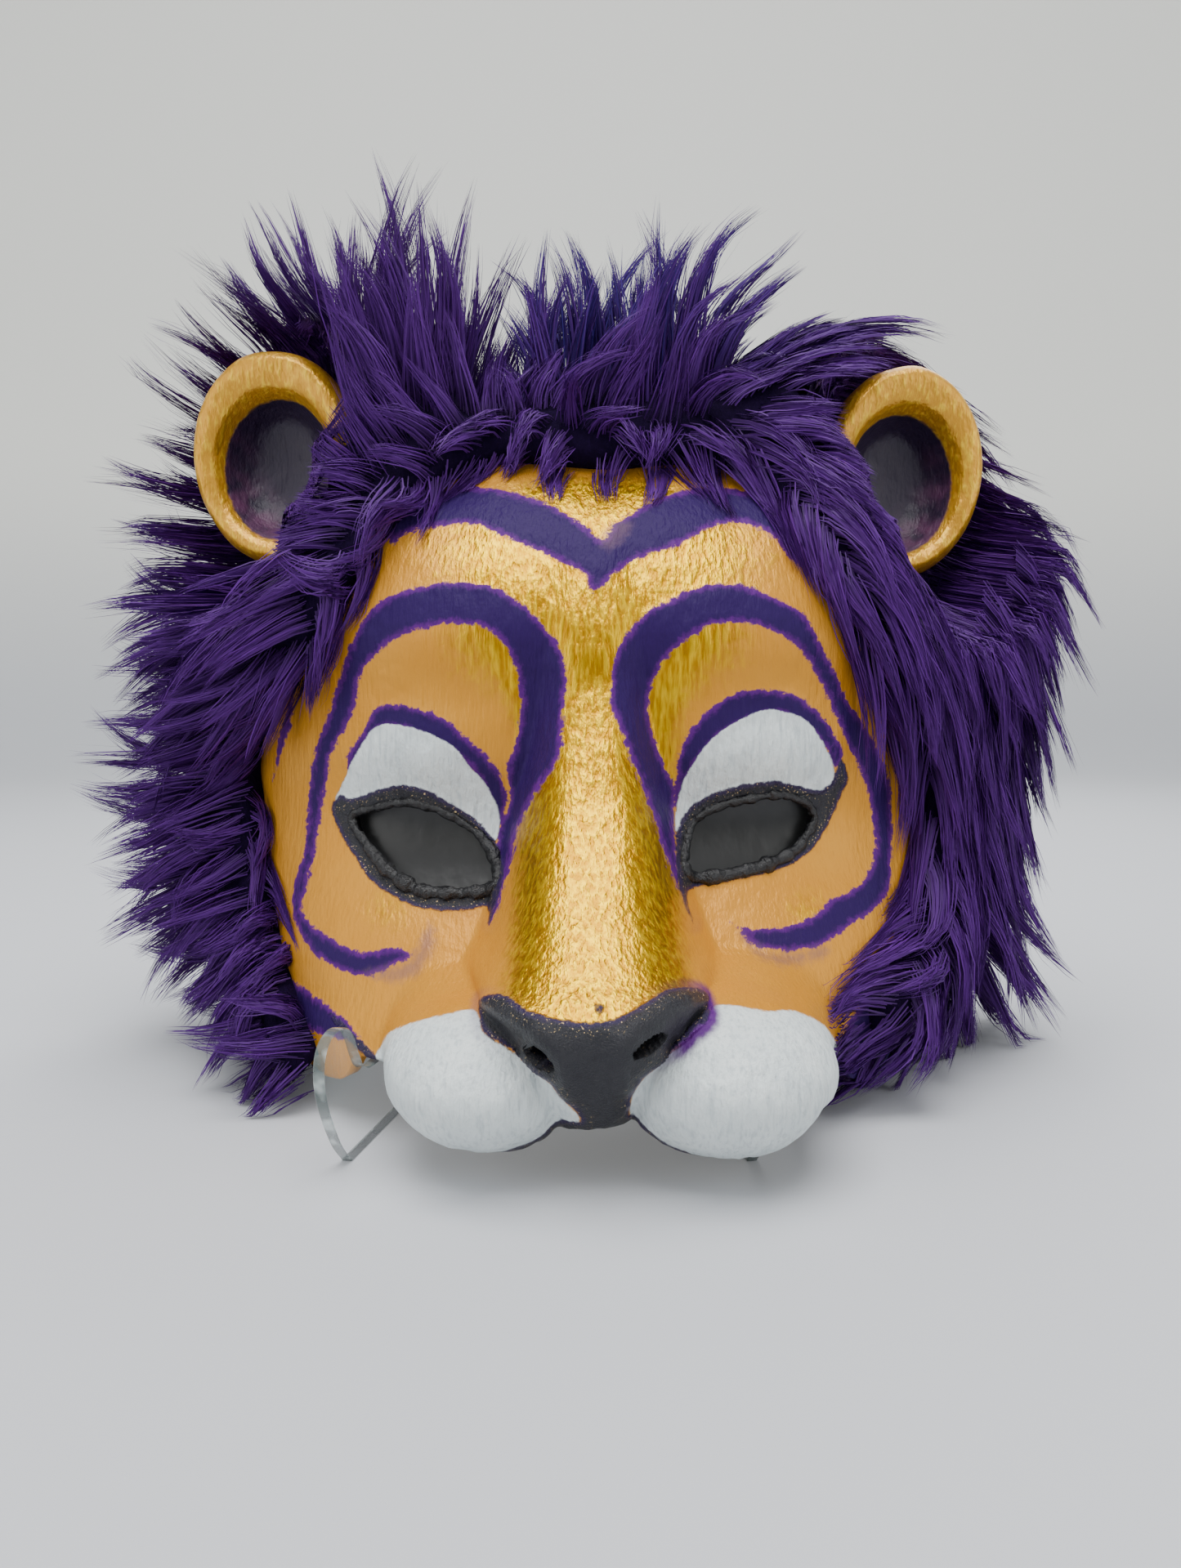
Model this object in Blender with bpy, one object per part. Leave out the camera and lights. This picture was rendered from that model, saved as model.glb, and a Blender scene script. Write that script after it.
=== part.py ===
"""A painted big-cat half-mask with a fur mane, seated on a clear two-plate display stand.

The mask frame has X across the face (the wearer's right is -X), +Y to the back and +Z up, with
Z = 0 on the table and X = 0 in the middle of the face. The tables are in millimetres, and MM turns
them into metres when a mesh is made. Every piece is a child of one empty, which is moved at the end
so that the middle of the whole thing's footprint lies at the origin.
"""

import math

import bmesh
import bpy
import numpy as np

MM = 0.001
GAP = 0.35
WALL = 3.0
LEFT, RIGHT = -1, 1

# The face without nose, muzzle and eyes: one level section in each row.
# height, half width at the rim, y of the front, y of the rim, roundness of the section
FACE_SECTIONS = np.array([
    (2, 77, -46, 36, 1.90),
    (15, 82, -44, 40, 2.00),
    (30, 86, -33, 43, 2.05),
    (50, 90, -20, 47, 2.15),
    (72, 93, -12, 51, 2.30),
    (95, 92, -10, 54, 2.40),
    (115, 90, -9, 56, 2.50),
    (135, 85, 0, 58, 2.50),
    (152, 75, 18, 59, 2.40),
    (166, 62, 36, 60, 2.20),
    (176, 48, 50, 60, 2.00),
    (182, 34, 57, 60, 2.00),
], float)

# The nose from lip to brow. height, y of its ridge, half width
NOSE_ROWS = np.array([
    (6, -48, 5.5),
    (14, -58, 6.5),
    (22, -63.5, 8.5),
    (30, -67.5, 12.5),
    (37, -67.5, 17.0),
    (44, -59, 15.5),
    (54, -47.5, 13.5),
    (66, -36, 12.0),
    (80, -25.5, 10.5),
    (95, -18, 9.5),
    (112, -12.5, 9.0),
    (130, -2, 8.0),
    (150, 22, 8.0),
    (166, 46, 8.0),
    (182, 76, 8.0),
], float)
NOSE_MIDDLE_X = -1.0
NOSE_STEEPNESS = 3.2
NOSE_BLEND = 7.0

# Muzzle pads: middle x, middle y, middle height, half width, reach forward, rise, drop
MUZZLE_PADS = (
    (-22.6, -35.0, 19.8, 22.0, 30.0, 15.5, 15.8),
    (25.4, -35.5, 20.8, 24.0, 31.8, 16.0, 17.5),
)
PAD_BLEND = 4.0

# Soft swellings (minus) and hollows (plus) on both sides of the face.
# distance from the middle, height, spread across, spread up, depth
FACE_SWELLS = (
    (38, 66, 22, 15, 6.0),
    (38, 81, 17, 8, -5.5),
    (37, 108, 22, 11, -3.0),
    (62, 42, 18, 16, -3.0),
)

# Lower edge of the shell: distance from the middle, height
LOWER_EDGE = np.array([
    (0, 14.0), (7, 13.0), (13, 8.0), (23, 5.6), (32, 7.2), (38, 11.5), (43, 17.4),
    (53.2, 17.4), (55.0, 12.5), (57, 10.5), (62, 9.0), (68, 9.5), (74, 13.0), (82, 20.0), (95, 24.0),
], float)
TOP_EDGE = 182.0
FACE_COLUMNS, FACE_ROWS = 46, 29
EDGE_PASSES = 4

# Eye openings, cut by hand and so not alike. x, z of each corner
EYE_OPENINGS = {
    "left": (
        (-58.5, 66.5), (-52.0, 69.5), (-45.0, 71.0), (-39.0, 70.0), (-33.0, 67.6), (-27.0, 63.6),
        (-23.2, 58.6), (-22.4, 54.6), (-25.5, 51.8), (-37.5, 51.0), (-44.6, 52.9), (-51.0, 57.2),
    ),
    "right": (
        (19.6, 57.0), (20.6, 63.0), (23.4, 68.0), (29.7, 70.8), (37.8, 72.5), (44.0, 72.7),
        (49.0, 70.8), (51.4, 67.6), (50.2, 64.0), (46.5, 60.0), (40.5, 57.2), (32.2, 55.4), (23.0, 54.6),
    ),
}
EYE_CUT_FROM, EYE_CUT_TO = -45.0, 40.0

# Nostrils: middle x, middle z, half width, half height, tilt in degrees
NOSTRILS = ((-10.6, 30.4, 3.6, 1.9, -32), (8.8, 33.0, 4.0, 1.7, 24))
NOSTRIL_CUT_FROM, NOSTRIL_CUT_TO = -85.0, -52.0

# The cut at the left corner of the mouth, from the lower edge up into the cheek
MOUTH_CUT = ((-49.5, 12.0), (-53.5, 12.0), (-61.8, 23.6), (-61.0, 25.0))
MOUTH_CUT_FROM, MOUTH_CUT_TO = -60.0, 15.0

# Dark film behind each eye opening
SCREEN_WALL = 0.8
SCREEN_MARGIN, SCREEN_NOSE_MARGIN = 7.0, 1.5

# Ears: a cup with a thick rolled rim. radius share, depth behind the rim
EAR_PROFILE = (
    (0.00, 14.0), (0.40, 12.5), (0.66, 8.0), (0.78, 2.6), (0.84, 0.4), (0.92, 0.0), (0.98, 2.2),
    (1.00, 5.5), (0.94, 10.0), (0.78, 14.5), (0.50, 17.2), (0.00, 18.2),
)
EAR_SEGMENTS = 26
# The space that the fur leaves free round an ear and in front of its mouth, given in the same way
EAR_SPACE_PROFILE = (
    (0.0, -45.0), (0.9, -45.0), (1.0, 5.5), (0.94, 10.4), (0.80, 15.0), (0.52, 18.2), (0.0, 19.2),
)
EAR_SPACE_GROWTH = 0.6
# side, middle x, y of the rim, middle z, half width, half height, roll, turn out, in degrees
EARS = {
    "left": (LEFT, -88.0, 46.0, 160.0, 24.5, 29.0, 10.0, 12.0),
    "right": (RIGHT, 84.5, 46.0, 156.0, 23.5, 29.0, 12.0, 12.0),
}

# The mane round the face, seen from the front about MANE_MIDDLE_Z.
# degrees from straight up to the right, radius of its edge on the face, radius of its outline,
# length of the lock tips beyond that outline
MANE_MIDDLE_Z = 80.0
MANE_ROWS = np.array([
    (-136, 92, 106, 8),
    (-128, 91, 116, 10),
    (-119, 91, 126, 12),
    (-110, 90, 130, 14),
    (-101, 88, 130, 14),
    (-90, 89, 126, 9),
    (-80, 83, 122, 12),
    (-68, 72, 124, 10),
    (-55, 70, 134, 10),
    (-47, 71, 144, 18),
    (-36, 72, 146, 20),
    (-24, 74, 136, 24),
    (-17, 74, 118, 12),
    (-6, 70, 120, 24),
    (4, 69, 118, 24),
    (13, 72, 124, 25),
    (20, 75, 118, 6),
    (30, 77, 132, 6),
    (42, 72, 142, 8),
    (54, 68, 138, 8),
    (66, 69, 130, 7),
    (78, 74, 126, 5),
    (90, 80, 122, 6),
    (102, 83, 120, 8),
    (113, 85, 122, 12),
    (122, 84, 120, 12),
    (130, 84, 112, 10),
], float)
MANE_STATIONS = 105
LOCK_STATIONS = 4
MANE_BACK_Y = 76.0
MANE_PILE = 8.0
MANE_FLOOR = 1.6
HEAD_CUT_BACK_Y = 100.0
HEAD_CUT_BOTTOM = -8.0

# Stand. Each plate stands upright, and the two close in towards the back.
PLATE_THICKNESS = 2.4
STAND_MIDDLE_X = -10.0
FOOT_FRONT_Y = -40.4
FOOT_HALF_SPREAD = 42.0
PLATE_TURN = math.radians(11.0)
# Outline of a plate: distance back from the foot's front corner, height
PLATE_OUTLINE = (
    (0.0, 0.0), (-5.0, 5.0), (-9.0, 11.0), (-12.0, 17.0), (-13.0, 22.0), (-12.3, 26.0), (-10.0, 28.5),
    (-6.7, 29.6), (-3.4, 29.3), (-0.2, 28.2), (2.4, 25.6), (4.6, 21.8), (6.8, 18.6), (9.4, 17.0),
    (12.7, 16.5), (48.0, 16.5), (52.5, 53.0), (64.0, 141.0), (66.0, 144.0), (69.5, 145.0),
    (73.0, 143.0), (75.0, 139.0), (112.0, 6.0), (112.0, 0.0),
)
BAR_BACK, BAR_HEIGHT, BAR_LIFT, BAR_DEPTH = 78.0, 8.0, 3.0, 6.0


def row_values(table, at, column):
    """The smooth curve through one column of a table whose first column rises."""
    places, values = table[:, 0], table[:, column]
    at = np.clip(at, places[0], places[-1])
    slopes = np.diff(values) / np.diff(places)
    tangents = np.concatenate([slopes[:1], (slopes[:-1] + slopes[1:]) / 2, slopes[-1:]])
    row = np.clip(np.searchsorted(places, at, side="right") - 1, 0, len(places) - 2)
    span = places[row + 1] - places[row]
    t = (at - places[row]) / span
    start = (2 * t**3 - 3 * t**2 + 1) * values[row] + (t**3 - 2 * t**2 + t) * span * tangents[row]
    end = (3 * t**2 - 2 * t**3) * values[row + 1] + (t**3 - t**2) * span * tangents[row + 1]
    return start + end


def smooth_min(a, b, blend):
    """The lesser of two depths, with the crease between them rounded over the blend."""
    share = np.clip(0.5 + 0.5 * (b - a) / blend, 0, 1)
    return b + (a - b) * share - blend * share * (1 - share)


def face_depth(x, z):
    """y of the face's outer surface at x and z."""
    width, front, rim, power = (row_values(FACE_SECTIONS, z, column) for column in (1, 2, 3, 4))
    across = np.clip(np.abs(x) / width, 0, 1)
    y = rim - (rim - front) * np.sqrt(np.clip(1 - across**power, 0, 1))
    for side in (LEFT, RIGHT):
        for away, height, wide, tall, depth in FACE_SWELLS:
            y = y + depth * np.exp(-0.5 * (((x - side * away) / wide) ** 2 + ((z - height) / tall) ** 2))
    ridge_y, ridge_half = (row_values(NOSE_ROWS, z, column) for column in (1, 2))
    off = np.abs(x - NOSE_MIDDLE_X) / ridge_half
    y = smooth_min(y, ridge_y + 0.55 * ridge_half * off**NOSE_STEEPNESS, NOSE_BLEND)
    for middle_x, middle_y, middle_z, half, reach, rise, drop in MUZZLE_PADS:
        tall = np.where(z > middle_z, rise, drop)
        left_over = 1 - ((x - middle_x) / half) ** 2 - ((z - middle_z) / tall) ** 2
        dome = middle_y - reach * np.sqrt(np.clip(left_over, 0, 1)) - 40 * np.minimum(left_over, 0)
        y = smooth_min(y, dome, PAD_BLEND)
    return y


def face_grid(columns, rows):
    """Points of the outer face, rows from the lower edge to the upper edge, (rows, columns, 3)."""
    u = np.linspace(-1, 1, columns)
    turn = 0.5 * math.pi * (0.68 * u + 0.32 * u**3)
    v = np.linspace(0, 1, rows) ** 1.25
    low = np.full(columns, LOWER_EDGE[0, 1])
    for _ in range(EDGE_PASSES):
        away = row_values(FACE_SECTIONS, low, 1) * np.abs(np.sin(turn))
        low = np.interp(away, LOWER_EDGE[:, 0], LOWER_EDGE[:, 1])
    z = low + (TOP_EDGE - low) * v[:, None]
    x = row_values(FACE_SECTIONS, z, 1) * np.sin(turn)
    return np.stack([x, face_depth(x, z), z], axis=-1)


def grid_normals(grid):
    """Unit normals of a grid of points, pointing away from the head."""
    down = np.gradient(grid, axis=0)
    over = np.gradient(grid, axis=1)
    normals = np.cross(over, down)
    normals /= np.linalg.norm(normals, axis=-1, keepdims=True)
    return normals


def new_object(name, vertices, faces, material, parent):
    """An object from points in millimetres, with its faces turned outwards."""
    mesh = bpy.data.meshes.new(name)
    mesh.from_pydata([tuple(v * MM for v in point) for point in vertices], [], faces)
    shape = bmesh.new()
    shape.from_mesh(mesh)
    bmesh.ops.recalc_face_normals(shape, faces=shape.faces)
    shape.to_mesh(mesh)
    shape.free()
    mesh.shade_smooth()
    mesh.set_sharp_from_angle(angle=math.radians(50))
    obj = bpy.data.objects.new(name, mesh)
    bpy.context.scene.collection.objects.link(obj)
    obj.parent = parent
    if material is not None:
        mesh.materials.append(material)
    return obj


def thick_grid(outer, inner):
    """Vertices and faces of the solid between two grids of the same size."""
    rows, columns = outer.shape[:2]
    count = rows * columns
    vertices = np.concatenate([outer.reshape(-1, 3), inner.reshape(-1, 3)])
    faces = []
    for i in range(rows - 1):
        for j in range(columns - 1):
            a, b = i * columns + j, (i + 1) * columns + j
            for first, second, third in ((a, a + 1, b + 1), (a, b + 1, b)):
                faces.append((first, second, third))
                faces.append((count + third, count + second, count + first))
    around = (
        [j for j in range(columns)]
        + [i * columns + columns - 1 for i in range(1, rows)]
        + [(rows - 1) * columns + j for j in range(columns - 2, -1, -1)]
        + [i * columns for i in range(rows - 2, 0, -1)]
    )
    for here, there in zip(around, around[1:] + around[:1]):
        faces.append((here, there, count + there, count + here))
    return vertices, faces


def prism(outline, y_from, y_to):
    """Vertices and faces of an outline in x and z, drawn out along y."""
    count = len(outline)
    vertices = [(x, y, z) for y in (y_from, y_to) for x, z in outline]
    faces = [tuple(range(count)), tuple(range(2 * count - 1, count - 1, -1))]
    faces += [(i, (i + 1) % count, count + (i + 1) % count, count + i) for i in range(count)]
    return vertices, faces


def cutter(name, vertices, faces, parent):
    """A hidden helper whose shape is taken from other pieces."""
    obj = new_object(name, vertices, faces, None, parent)
    obj.hide_render = True
    obj.display_type = "WIRE"
    return obj


def cut(obj, *tools):
    """Takes each tool's shape from the object."""
    for tool in tools:
        modifier = obj.modifiers.new(f"cut_{tool.name}", "BOOLEAN")
        modifier.operation = "DIFFERENCE"
        modifier.solver = "EXACT"
        modifier.object = tool


def finish_of(name, colour, roughness, metallic=0.0, alpha=1.0):
    """A plain material."""
    material = bpy.data.materials.new(name)
    material.use_nodes = True
    shader = material.node_tree.nodes["Principled BSDF"]
    shader.inputs["Base Color"].default_value = (*colour, 1.0)
    shader.inputs["Roughness"].default_value = roughness
    shader.inputs["Metallic"].default_value = metallic
    shader.inputs["Alpha"].default_value = alpha
    return material


def rounded(outline, per_corner=3):
    """A closed smooth curve through the corners of an outline."""
    points = np.array(outline, float)
    before, after = np.roll(points, 1, axis=0), np.roll(points, -1, axis=0)
    beyond = np.roll(points, -2, axis=0)
    curve = []
    for i in range(len(points)):
        for t in np.arange(per_corner) / per_corner:
            a = -0.5 * t + t**2 - 0.5 * t**3
            b = 1 - 2.5 * t**2 + 1.5 * t**3
            c = 0.5 * t + 2 * t**2 - 1.5 * t**3
            d = -0.5 * t**2 + 0.5 * t**3
            curve.append(tuple(a * before[i] + b * points[i] + c * after[i] + d * beyond[i]))
    return curve


def ellipse(middle_x, middle_z, half_wide, half_tall, tilt, sides=14):
    """A tilted ellipse in x and z."""
    turn = math.radians(tilt)
    points = []
    for i in range(sides):
        angle = 2 * math.pi * i / sides
        a, b = half_wide * math.cos(angle), half_tall * math.sin(angle)
        points.append((
            middle_x + a * math.cos(turn) - b * math.sin(turn),
            middle_z + a * math.sin(turn) + b * math.cos(turn),
        ))
    return points


def build_face_shell(parent, material):
    """The papier-mache face, with both eyes, both nostrils and the corner of the mouth cut."""
    outer = face_grid(FACE_COLUMNS, FACE_ROWS)
    inner = outer - WALL * grid_normals(outer)
    shell = new_object("face_shell", *thick_grid(outer, inner), material, parent)
    tools = [
        cutter(f"eye_cut_{side}", *prism(rounded(outline), EYE_CUT_FROM, EYE_CUT_TO), parent)
        for side, outline in EYE_OPENINGS.items()
    ]
    for number, nostril in enumerate(NOSTRILS):
        shape = prism(ellipse(*nostril), NOSTRIL_CUT_FROM, NOSTRIL_CUT_TO)
        tools.append(cutter(f"nostril_cut_{number}", *shape, parent))
    tools.append(cutter("mouth_cut", *prism(MOUTH_CUT, MOUTH_CUT_FROM, MOUTH_CUT_TO), parent))
    cut(shell, *tools)
    return shell


def build_eye_screen(side, parent, material):
    """A thin dark film close behind an eye opening, following the inside of the shell."""
    outer = face_grid(FACE_COLUMNS, FACE_ROWS)
    inwards = -grid_normals(outer)
    outline = np.array(EYE_OPENINGS[side])
    low, high = outline.min(axis=0), outline.max(axis=0)
    middle_row = np.argmin(np.abs(outer[:, FACE_COLUMNS // 2, 2] - 0.5 * (low[1] + high[1])))
    away = np.abs(outer[middle_row, :, 0])
    near, far = np.sort(np.abs((low[0], high[0])))
    on_this_side = np.sign(outer[middle_row, :, 0]) == np.sign(low[0])
    behind = (away > near - SCREEN_NOSE_MARGIN) & (away < far + SCREEN_MARGIN)
    columns = np.flatnonzero(on_this_side & behind)
    up = outer[:, columns[len(columns) // 2], 2]
    rows = np.flatnonzero((up > low[1] - SCREEN_MARGIN) & (up < high[1] + SCREEN_MARGIN))
    block = np.ix_(rows, columns)
    front = outer[block] + (WALL + GAP) * inwards[block]
    back = front + SCREEN_WALL * inwards[block]
    return new_object(f"eye_screen_{side}", *thick_grid(front, back), material, parent)


def head_cutter(parent):
    """The space of the shell and of the head behind it, a little larger all round."""
    outer = face_grid(FACE_COLUMNS, FACE_ROWS)
    outer = outer + (GAP + 0.1) * grid_normals(outer)
    below = outer[:1].copy()
    below[..., 2] = HEAD_CUT_BOTTOM
    outer = np.concatenate([below, outer])
    back = outer.copy()
    back[..., 1] = HEAD_CUT_BACK_Y
    return cutter("head_space", *thick_grid(outer, back), parent)


def ear_points(side, profile, grow=0.0):
    """Rings of an ear's turned profile, placed on the head."""
    sign, x, y, z, half_wide, half_tall, roll, turn_out = EARS[side]
    roll, turn_out = math.radians(sign * roll), math.radians(sign * turn_out)
    rings = []
    for share, depth in profile:
        ring = []
        for i in range(EAR_SEGMENTS):
            angle = 2 * math.pi * i / EAR_SEGMENTS
            a = (half_wide + grow) * share * math.cos(angle)
            b = (half_tall + grow) * share * math.sin(angle)
            across = a * math.cos(roll) + b * math.sin(roll)
            up = b * math.cos(roll) - a * math.sin(roll)
            ring.append((
                x + across * math.cos(turn_out) - depth * math.sin(turn_out),
                y + across * math.sin(turn_out) + depth * math.cos(turn_out),
                z + up,
            ))
        rings.append(ring)
    return rings


def turned(rings):
    """Vertices and faces of a closed turned shape whose first and last rings are poles."""
    middle = [ring for ring in rings[1:-1]]
    vertices = [rings[0][0]] + [point for ring in middle for point in ring] + [rings[-1][0]]
    count, last = EAR_SEGMENTS, len(vertices) - 1
    faces = [(0, 1 + i, 1 + (i + 1) % count) for i in range(count)]
    for ring in range(len(middle) - 1):
        start = 1 + ring * count
        for i in range(count):
            j = (i + 1) % count
            faces.append((start + i, start + count + i, start + count + j, start + j))
    start = 1 + (len(middle) - 1) * count
    faces += [(last, start + (i + 1) % count, start + i) for i in range(count)]
    return vertices, faces


def build_ear(side, parent, material, head_space):
    """A round cupped ear, cut where it meets the side of the head."""
    ear = new_object(f"ear_{side}", *turned(ear_points(side, EAR_PROFILE)), material, parent)
    cut(ear, head_space)
    return ear


def ear_cutter(side, parent):
    """The space of an ear and of the open air in front of its mouth."""
    rings = ear_points(side, EAR_SPACE_PROFILE, grow=EAR_SPACE_GROWTH)
    return cutter(f"ear_space_{side}", *turned(rings), parent)


def mane_section(angle, station):
    """One closed section of the mane, from the face's edge out to the lock tips and round the back."""
    edge, outline, tips = (float(row_values(MANE_ROWS, angle, column)) for column in (1, 2, 3))
    turn = math.radians(angle)
    edge_x, edge_z = edge * math.sin(turn), MANE_MIDDLE_Z + edge * math.cos(turn)
    skin = float(face_depth(np.array(edge_x), np.array(edge_z)))
    phase = (station % LOCK_STATIONS) / LOCK_STATIONS
    lock = math.sin(math.pi * phase)
    other = math.sin(math.pi * ((phase + 0.5) % 1.0))
    reach = outline + tips * lock
    front = max(skin - MANE_PILE, -18.0)
    rows = (
        (edge - 6.0, skin + 14.0),
        (edge - 1.5 * lock, front),
        (edge + 10.0, front - 1.0 - 2.5 * other),
        (0.45 * edge + 0.55 * outline, 0.62 * front + 12.0 - 3.0 * lock),
        (outline - 8.0, 0.35 * front + 31.0 - 4.0 * other),
        (outline + 0.5 * tips * other, 46.0),
        (reach, 57.0),
        (outline - 3.0 + 0.4 * tips * other, 67.0 + 1.5 * lock),
        (0.35 * edge + 0.65 * outline, MANE_BACK_Y + 2.0 * lock),
        (edge + 8.0, MANE_BACK_Y),
        (edge - 14.0, MANE_BACK_Y - 2.0),
    )
    section = []
    for radius, y in rows:
        x, z = radius * math.sin(turn), MANE_MIDDLE_Z + radius * math.cos(turn)
        section.append((x, y, max(z, MANE_FLOOR + 0.02 * (radius - edge))))
    return section


def build_mane(parent, material, *spaces):
    """The fur's outer form: locks fused to a backing that goes round the face from jaw to jaw."""
    angles = np.linspace(MANE_ROWS[0, 0], MANE_ROWS[-1, 0], MANE_STATIONS)
    sections = [mane_section(angle, station) for station, angle in enumerate(angles)]
    count = len(sections[0])
    vertices = [point for section in sections for point in section]
    faces = [tuple(range(count)), tuple(range(len(vertices) - count, len(vertices)))]
    for station in range(MANE_STATIONS - 1):
        a, b = station * count, (station + 1) * count
        faces += [(a + i, a + (i + 1) % count, b + (i + 1) % count, b + i) for i in range(count)]
    mane = new_object("fur_mane", vertices, faces, material, parent)
    cut(mane, *spaces)
    return mane


def plate_point(sign, back, height, off):
    """A point of a stand plate: back from its foot's front corner, up, and off its middle plane."""
    x = STAND_MIDDLE_X + sign * FOOT_HALF_SPREAD
    y = FOOT_FRONT_Y
    return (
        x - sign * (back * math.sin(PLATE_TURN) - off * math.cos(PLATE_TURN)),
        y + back * math.cos(PLATE_TURN) + off * math.sin(PLATE_TURN),
        height,
    )


def build_stand_side(name, sign, parent, material):
    """A clear plate with a hooked front, a level seat, an upright edge and a sloping back."""
    half = 0.5 * PLATE_THICKNESS
    count = len(PLATE_OUTLINE)
    vertices = [
        plate_point(sign, back, height, off) for off in (-half, half) for back, height in PLATE_OUTLINE
    ]
    faces = [tuple(range(count)), tuple(range(2 * count - 1, count - 1, -1))]
    faces += [(i, (i + 1) % count, count + (i + 1) % count, count + i) for i in range(count)]
    return new_object(name, vertices, faces, material, parent)


def build_stand_bar(parent, material):
    """The bar across the back, its ends cut to the slant of the plates."""
    off = -0.5 * PLATE_THICKNESS - GAP
    corners = []
    for height in (BAR_LIFT, BAR_LIFT + BAR_HEIGHT):
        for sign, back in ((LEFT, 0), (LEFT, 1), (RIGHT, 1), (RIGHT, 0)):
            corners.append(plate_point(sign, BAR_BACK + back * BAR_DEPTH, height, off))
    faces = [(0, 1, 2, 3), (7, 6, 5, 4), (0, 4, 5, 1), (1, 5, 6, 2), (2, 6, 7, 3), (3, 7, 4, 0)]
    return new_object("stand_cross_bar", corners, faces, material, parent)


def centre_on_footprint(frame, pieces):
    """Moves the frame so that the middle of all pieces' box lies over the origin."""
    bpy.context.view_layer.update()
    graph = bpy.context.evaluated_depsgraph_get()
    corners = []
    for piece in pieces:
        shown = piece.evaluated_get(graph)
        corners += [shown.matrix_world @ vertex.co for vertex in shown.data.vertices]
    low = [min(corner[axis] for corner in corners) for axis in range(3)]
    high = [max(corner[axis] for corner in corners) for axis in range(3)]
    frame.location = (-0.5 * (low[0] + high[0]), -0.5 * (low[1] + high[1]), -low[2])
    bpy.context.view_layer.update()


def main():
    for obj in list(bpy.data.objects):
        bpy.data.objects.remove(obj, do_unlink=True)
    frame = bpy.data.objects.new("mask_frame", None)
    bpy.context.scene.collection.objects.link(frame)

    paint = finish_of("painted_shell", (0.62, 0.37, 0.08), 0.40, metallic=0.35)
    ear_paint = finish_of("painted_ear", (0.55, 0.33, 0.07), 0.40, metallic=0.35)
    fur = finish_of("purple_fur", (0.055, 0.012, 0.15), 0.85)
    film = finish_of("dark_film", (0.02, 0.02, 0.02), 0.35, alpha=0.85)
    clear = finish_of("clear_plastic", (0.92, 0.95, 0.95), 0.05, alpha=0.25)

    head_space = head_cutter(frame)
    pieces = [build_face_shell(frame, paint)]
    pieces += [build_ear(side, frame, ear_paint, head_space) for side in EARS]
    pieces += [build_eye_screen(side, frame, film) for side in EYE_OPENINGS]
    pieces.append(build_mane(frame, fur, head_space, *(ear_cutter(side, frame) for side in EARS)))
    pieces.append(build_stand_side("stand_side_left", LEFT, frame, clear))
    pieces.append(build_stand_side("stand_side_right", RIGHT, frame, clear))
    pieces.append(build_stand_bar(frame, clear))
    centre_on_footprint(frame, pieces)


main()
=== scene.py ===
"""The looks of a hand-painted tiger half-mask with a purple fur mane, on a clear display stand.

Sizes are in millimetres in the mask's own frame: X across the face, +Y to the back and +Z up, with
Z = 0 on the table and X = 0 in the middle of the face. Placement turns them into the metres of the
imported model. The painted pattern is drawn as outlines in pixels of the photograph, and the same
camera that takes the picture lays them on the face.
"""

import logging
import math
from collections.abc import Sequence
from dataclasses import dataclass, field
from enum import Enum

import bpy
import numpy as np
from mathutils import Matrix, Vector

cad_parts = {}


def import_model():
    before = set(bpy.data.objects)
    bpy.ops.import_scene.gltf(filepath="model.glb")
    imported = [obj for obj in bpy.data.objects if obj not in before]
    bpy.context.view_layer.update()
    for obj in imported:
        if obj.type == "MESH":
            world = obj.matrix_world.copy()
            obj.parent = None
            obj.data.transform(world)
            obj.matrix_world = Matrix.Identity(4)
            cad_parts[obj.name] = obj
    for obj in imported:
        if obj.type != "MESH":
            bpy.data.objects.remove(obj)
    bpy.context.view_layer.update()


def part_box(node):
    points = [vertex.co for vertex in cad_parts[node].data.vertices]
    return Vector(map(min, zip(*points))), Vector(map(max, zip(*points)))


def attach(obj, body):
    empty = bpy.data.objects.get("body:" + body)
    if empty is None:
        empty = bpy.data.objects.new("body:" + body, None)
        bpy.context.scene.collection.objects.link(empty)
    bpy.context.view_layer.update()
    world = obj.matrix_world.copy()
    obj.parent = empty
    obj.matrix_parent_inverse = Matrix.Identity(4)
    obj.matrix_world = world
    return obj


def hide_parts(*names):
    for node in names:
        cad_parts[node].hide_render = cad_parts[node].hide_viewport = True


LOG = logging.getLogger("tiger_mask")
MM = 0.001
ROOT = "root"
VIEWPOINT = (-1.5, -270.0, 98.6)
HASH_PRIMES = (374761393, 668265263, 1274126177, 974634777)

Array = np.ndarray
Random = np.random.Generator
Material = bpy.types.Material
Object = bpy.types.Object
Socket = bpy.types.NodeSocket
Pair = tuple[float, float]
Triple = tuple[float, float, float]
Outline = Sequence[Pair]


class Side(Enum):
    """A side of the mask as the photograph shows it."""

    LEFT = -1
    RIGHT = 1

    @property
    def word(self) -> str:
        """The side's name in lower case."""
        return self.name.lower()


class Slot(Enum):
    """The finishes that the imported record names."""

    SHELL = "painted_shell"
    EAR = "painted_ear"
    FUR = "purple_fur"
    FILM = "dark_film"
    CLEAR = "clear_plastic"


# Shape tools


def full_turn(steps: int) -> Array:
    """Returns evenly spaced angles round a circle, in radians."""
    return 2 * math.pi * np.arange(steps) / steps


def unit(vectors: Array) -> Array:
    """Returns vectors, (..., dimensions), drawn to a length of 1."""
    return vectors / np.maximum(np.linalg.norm(vectors, axis=-1, keepdims=True), 1e-9)


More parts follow.
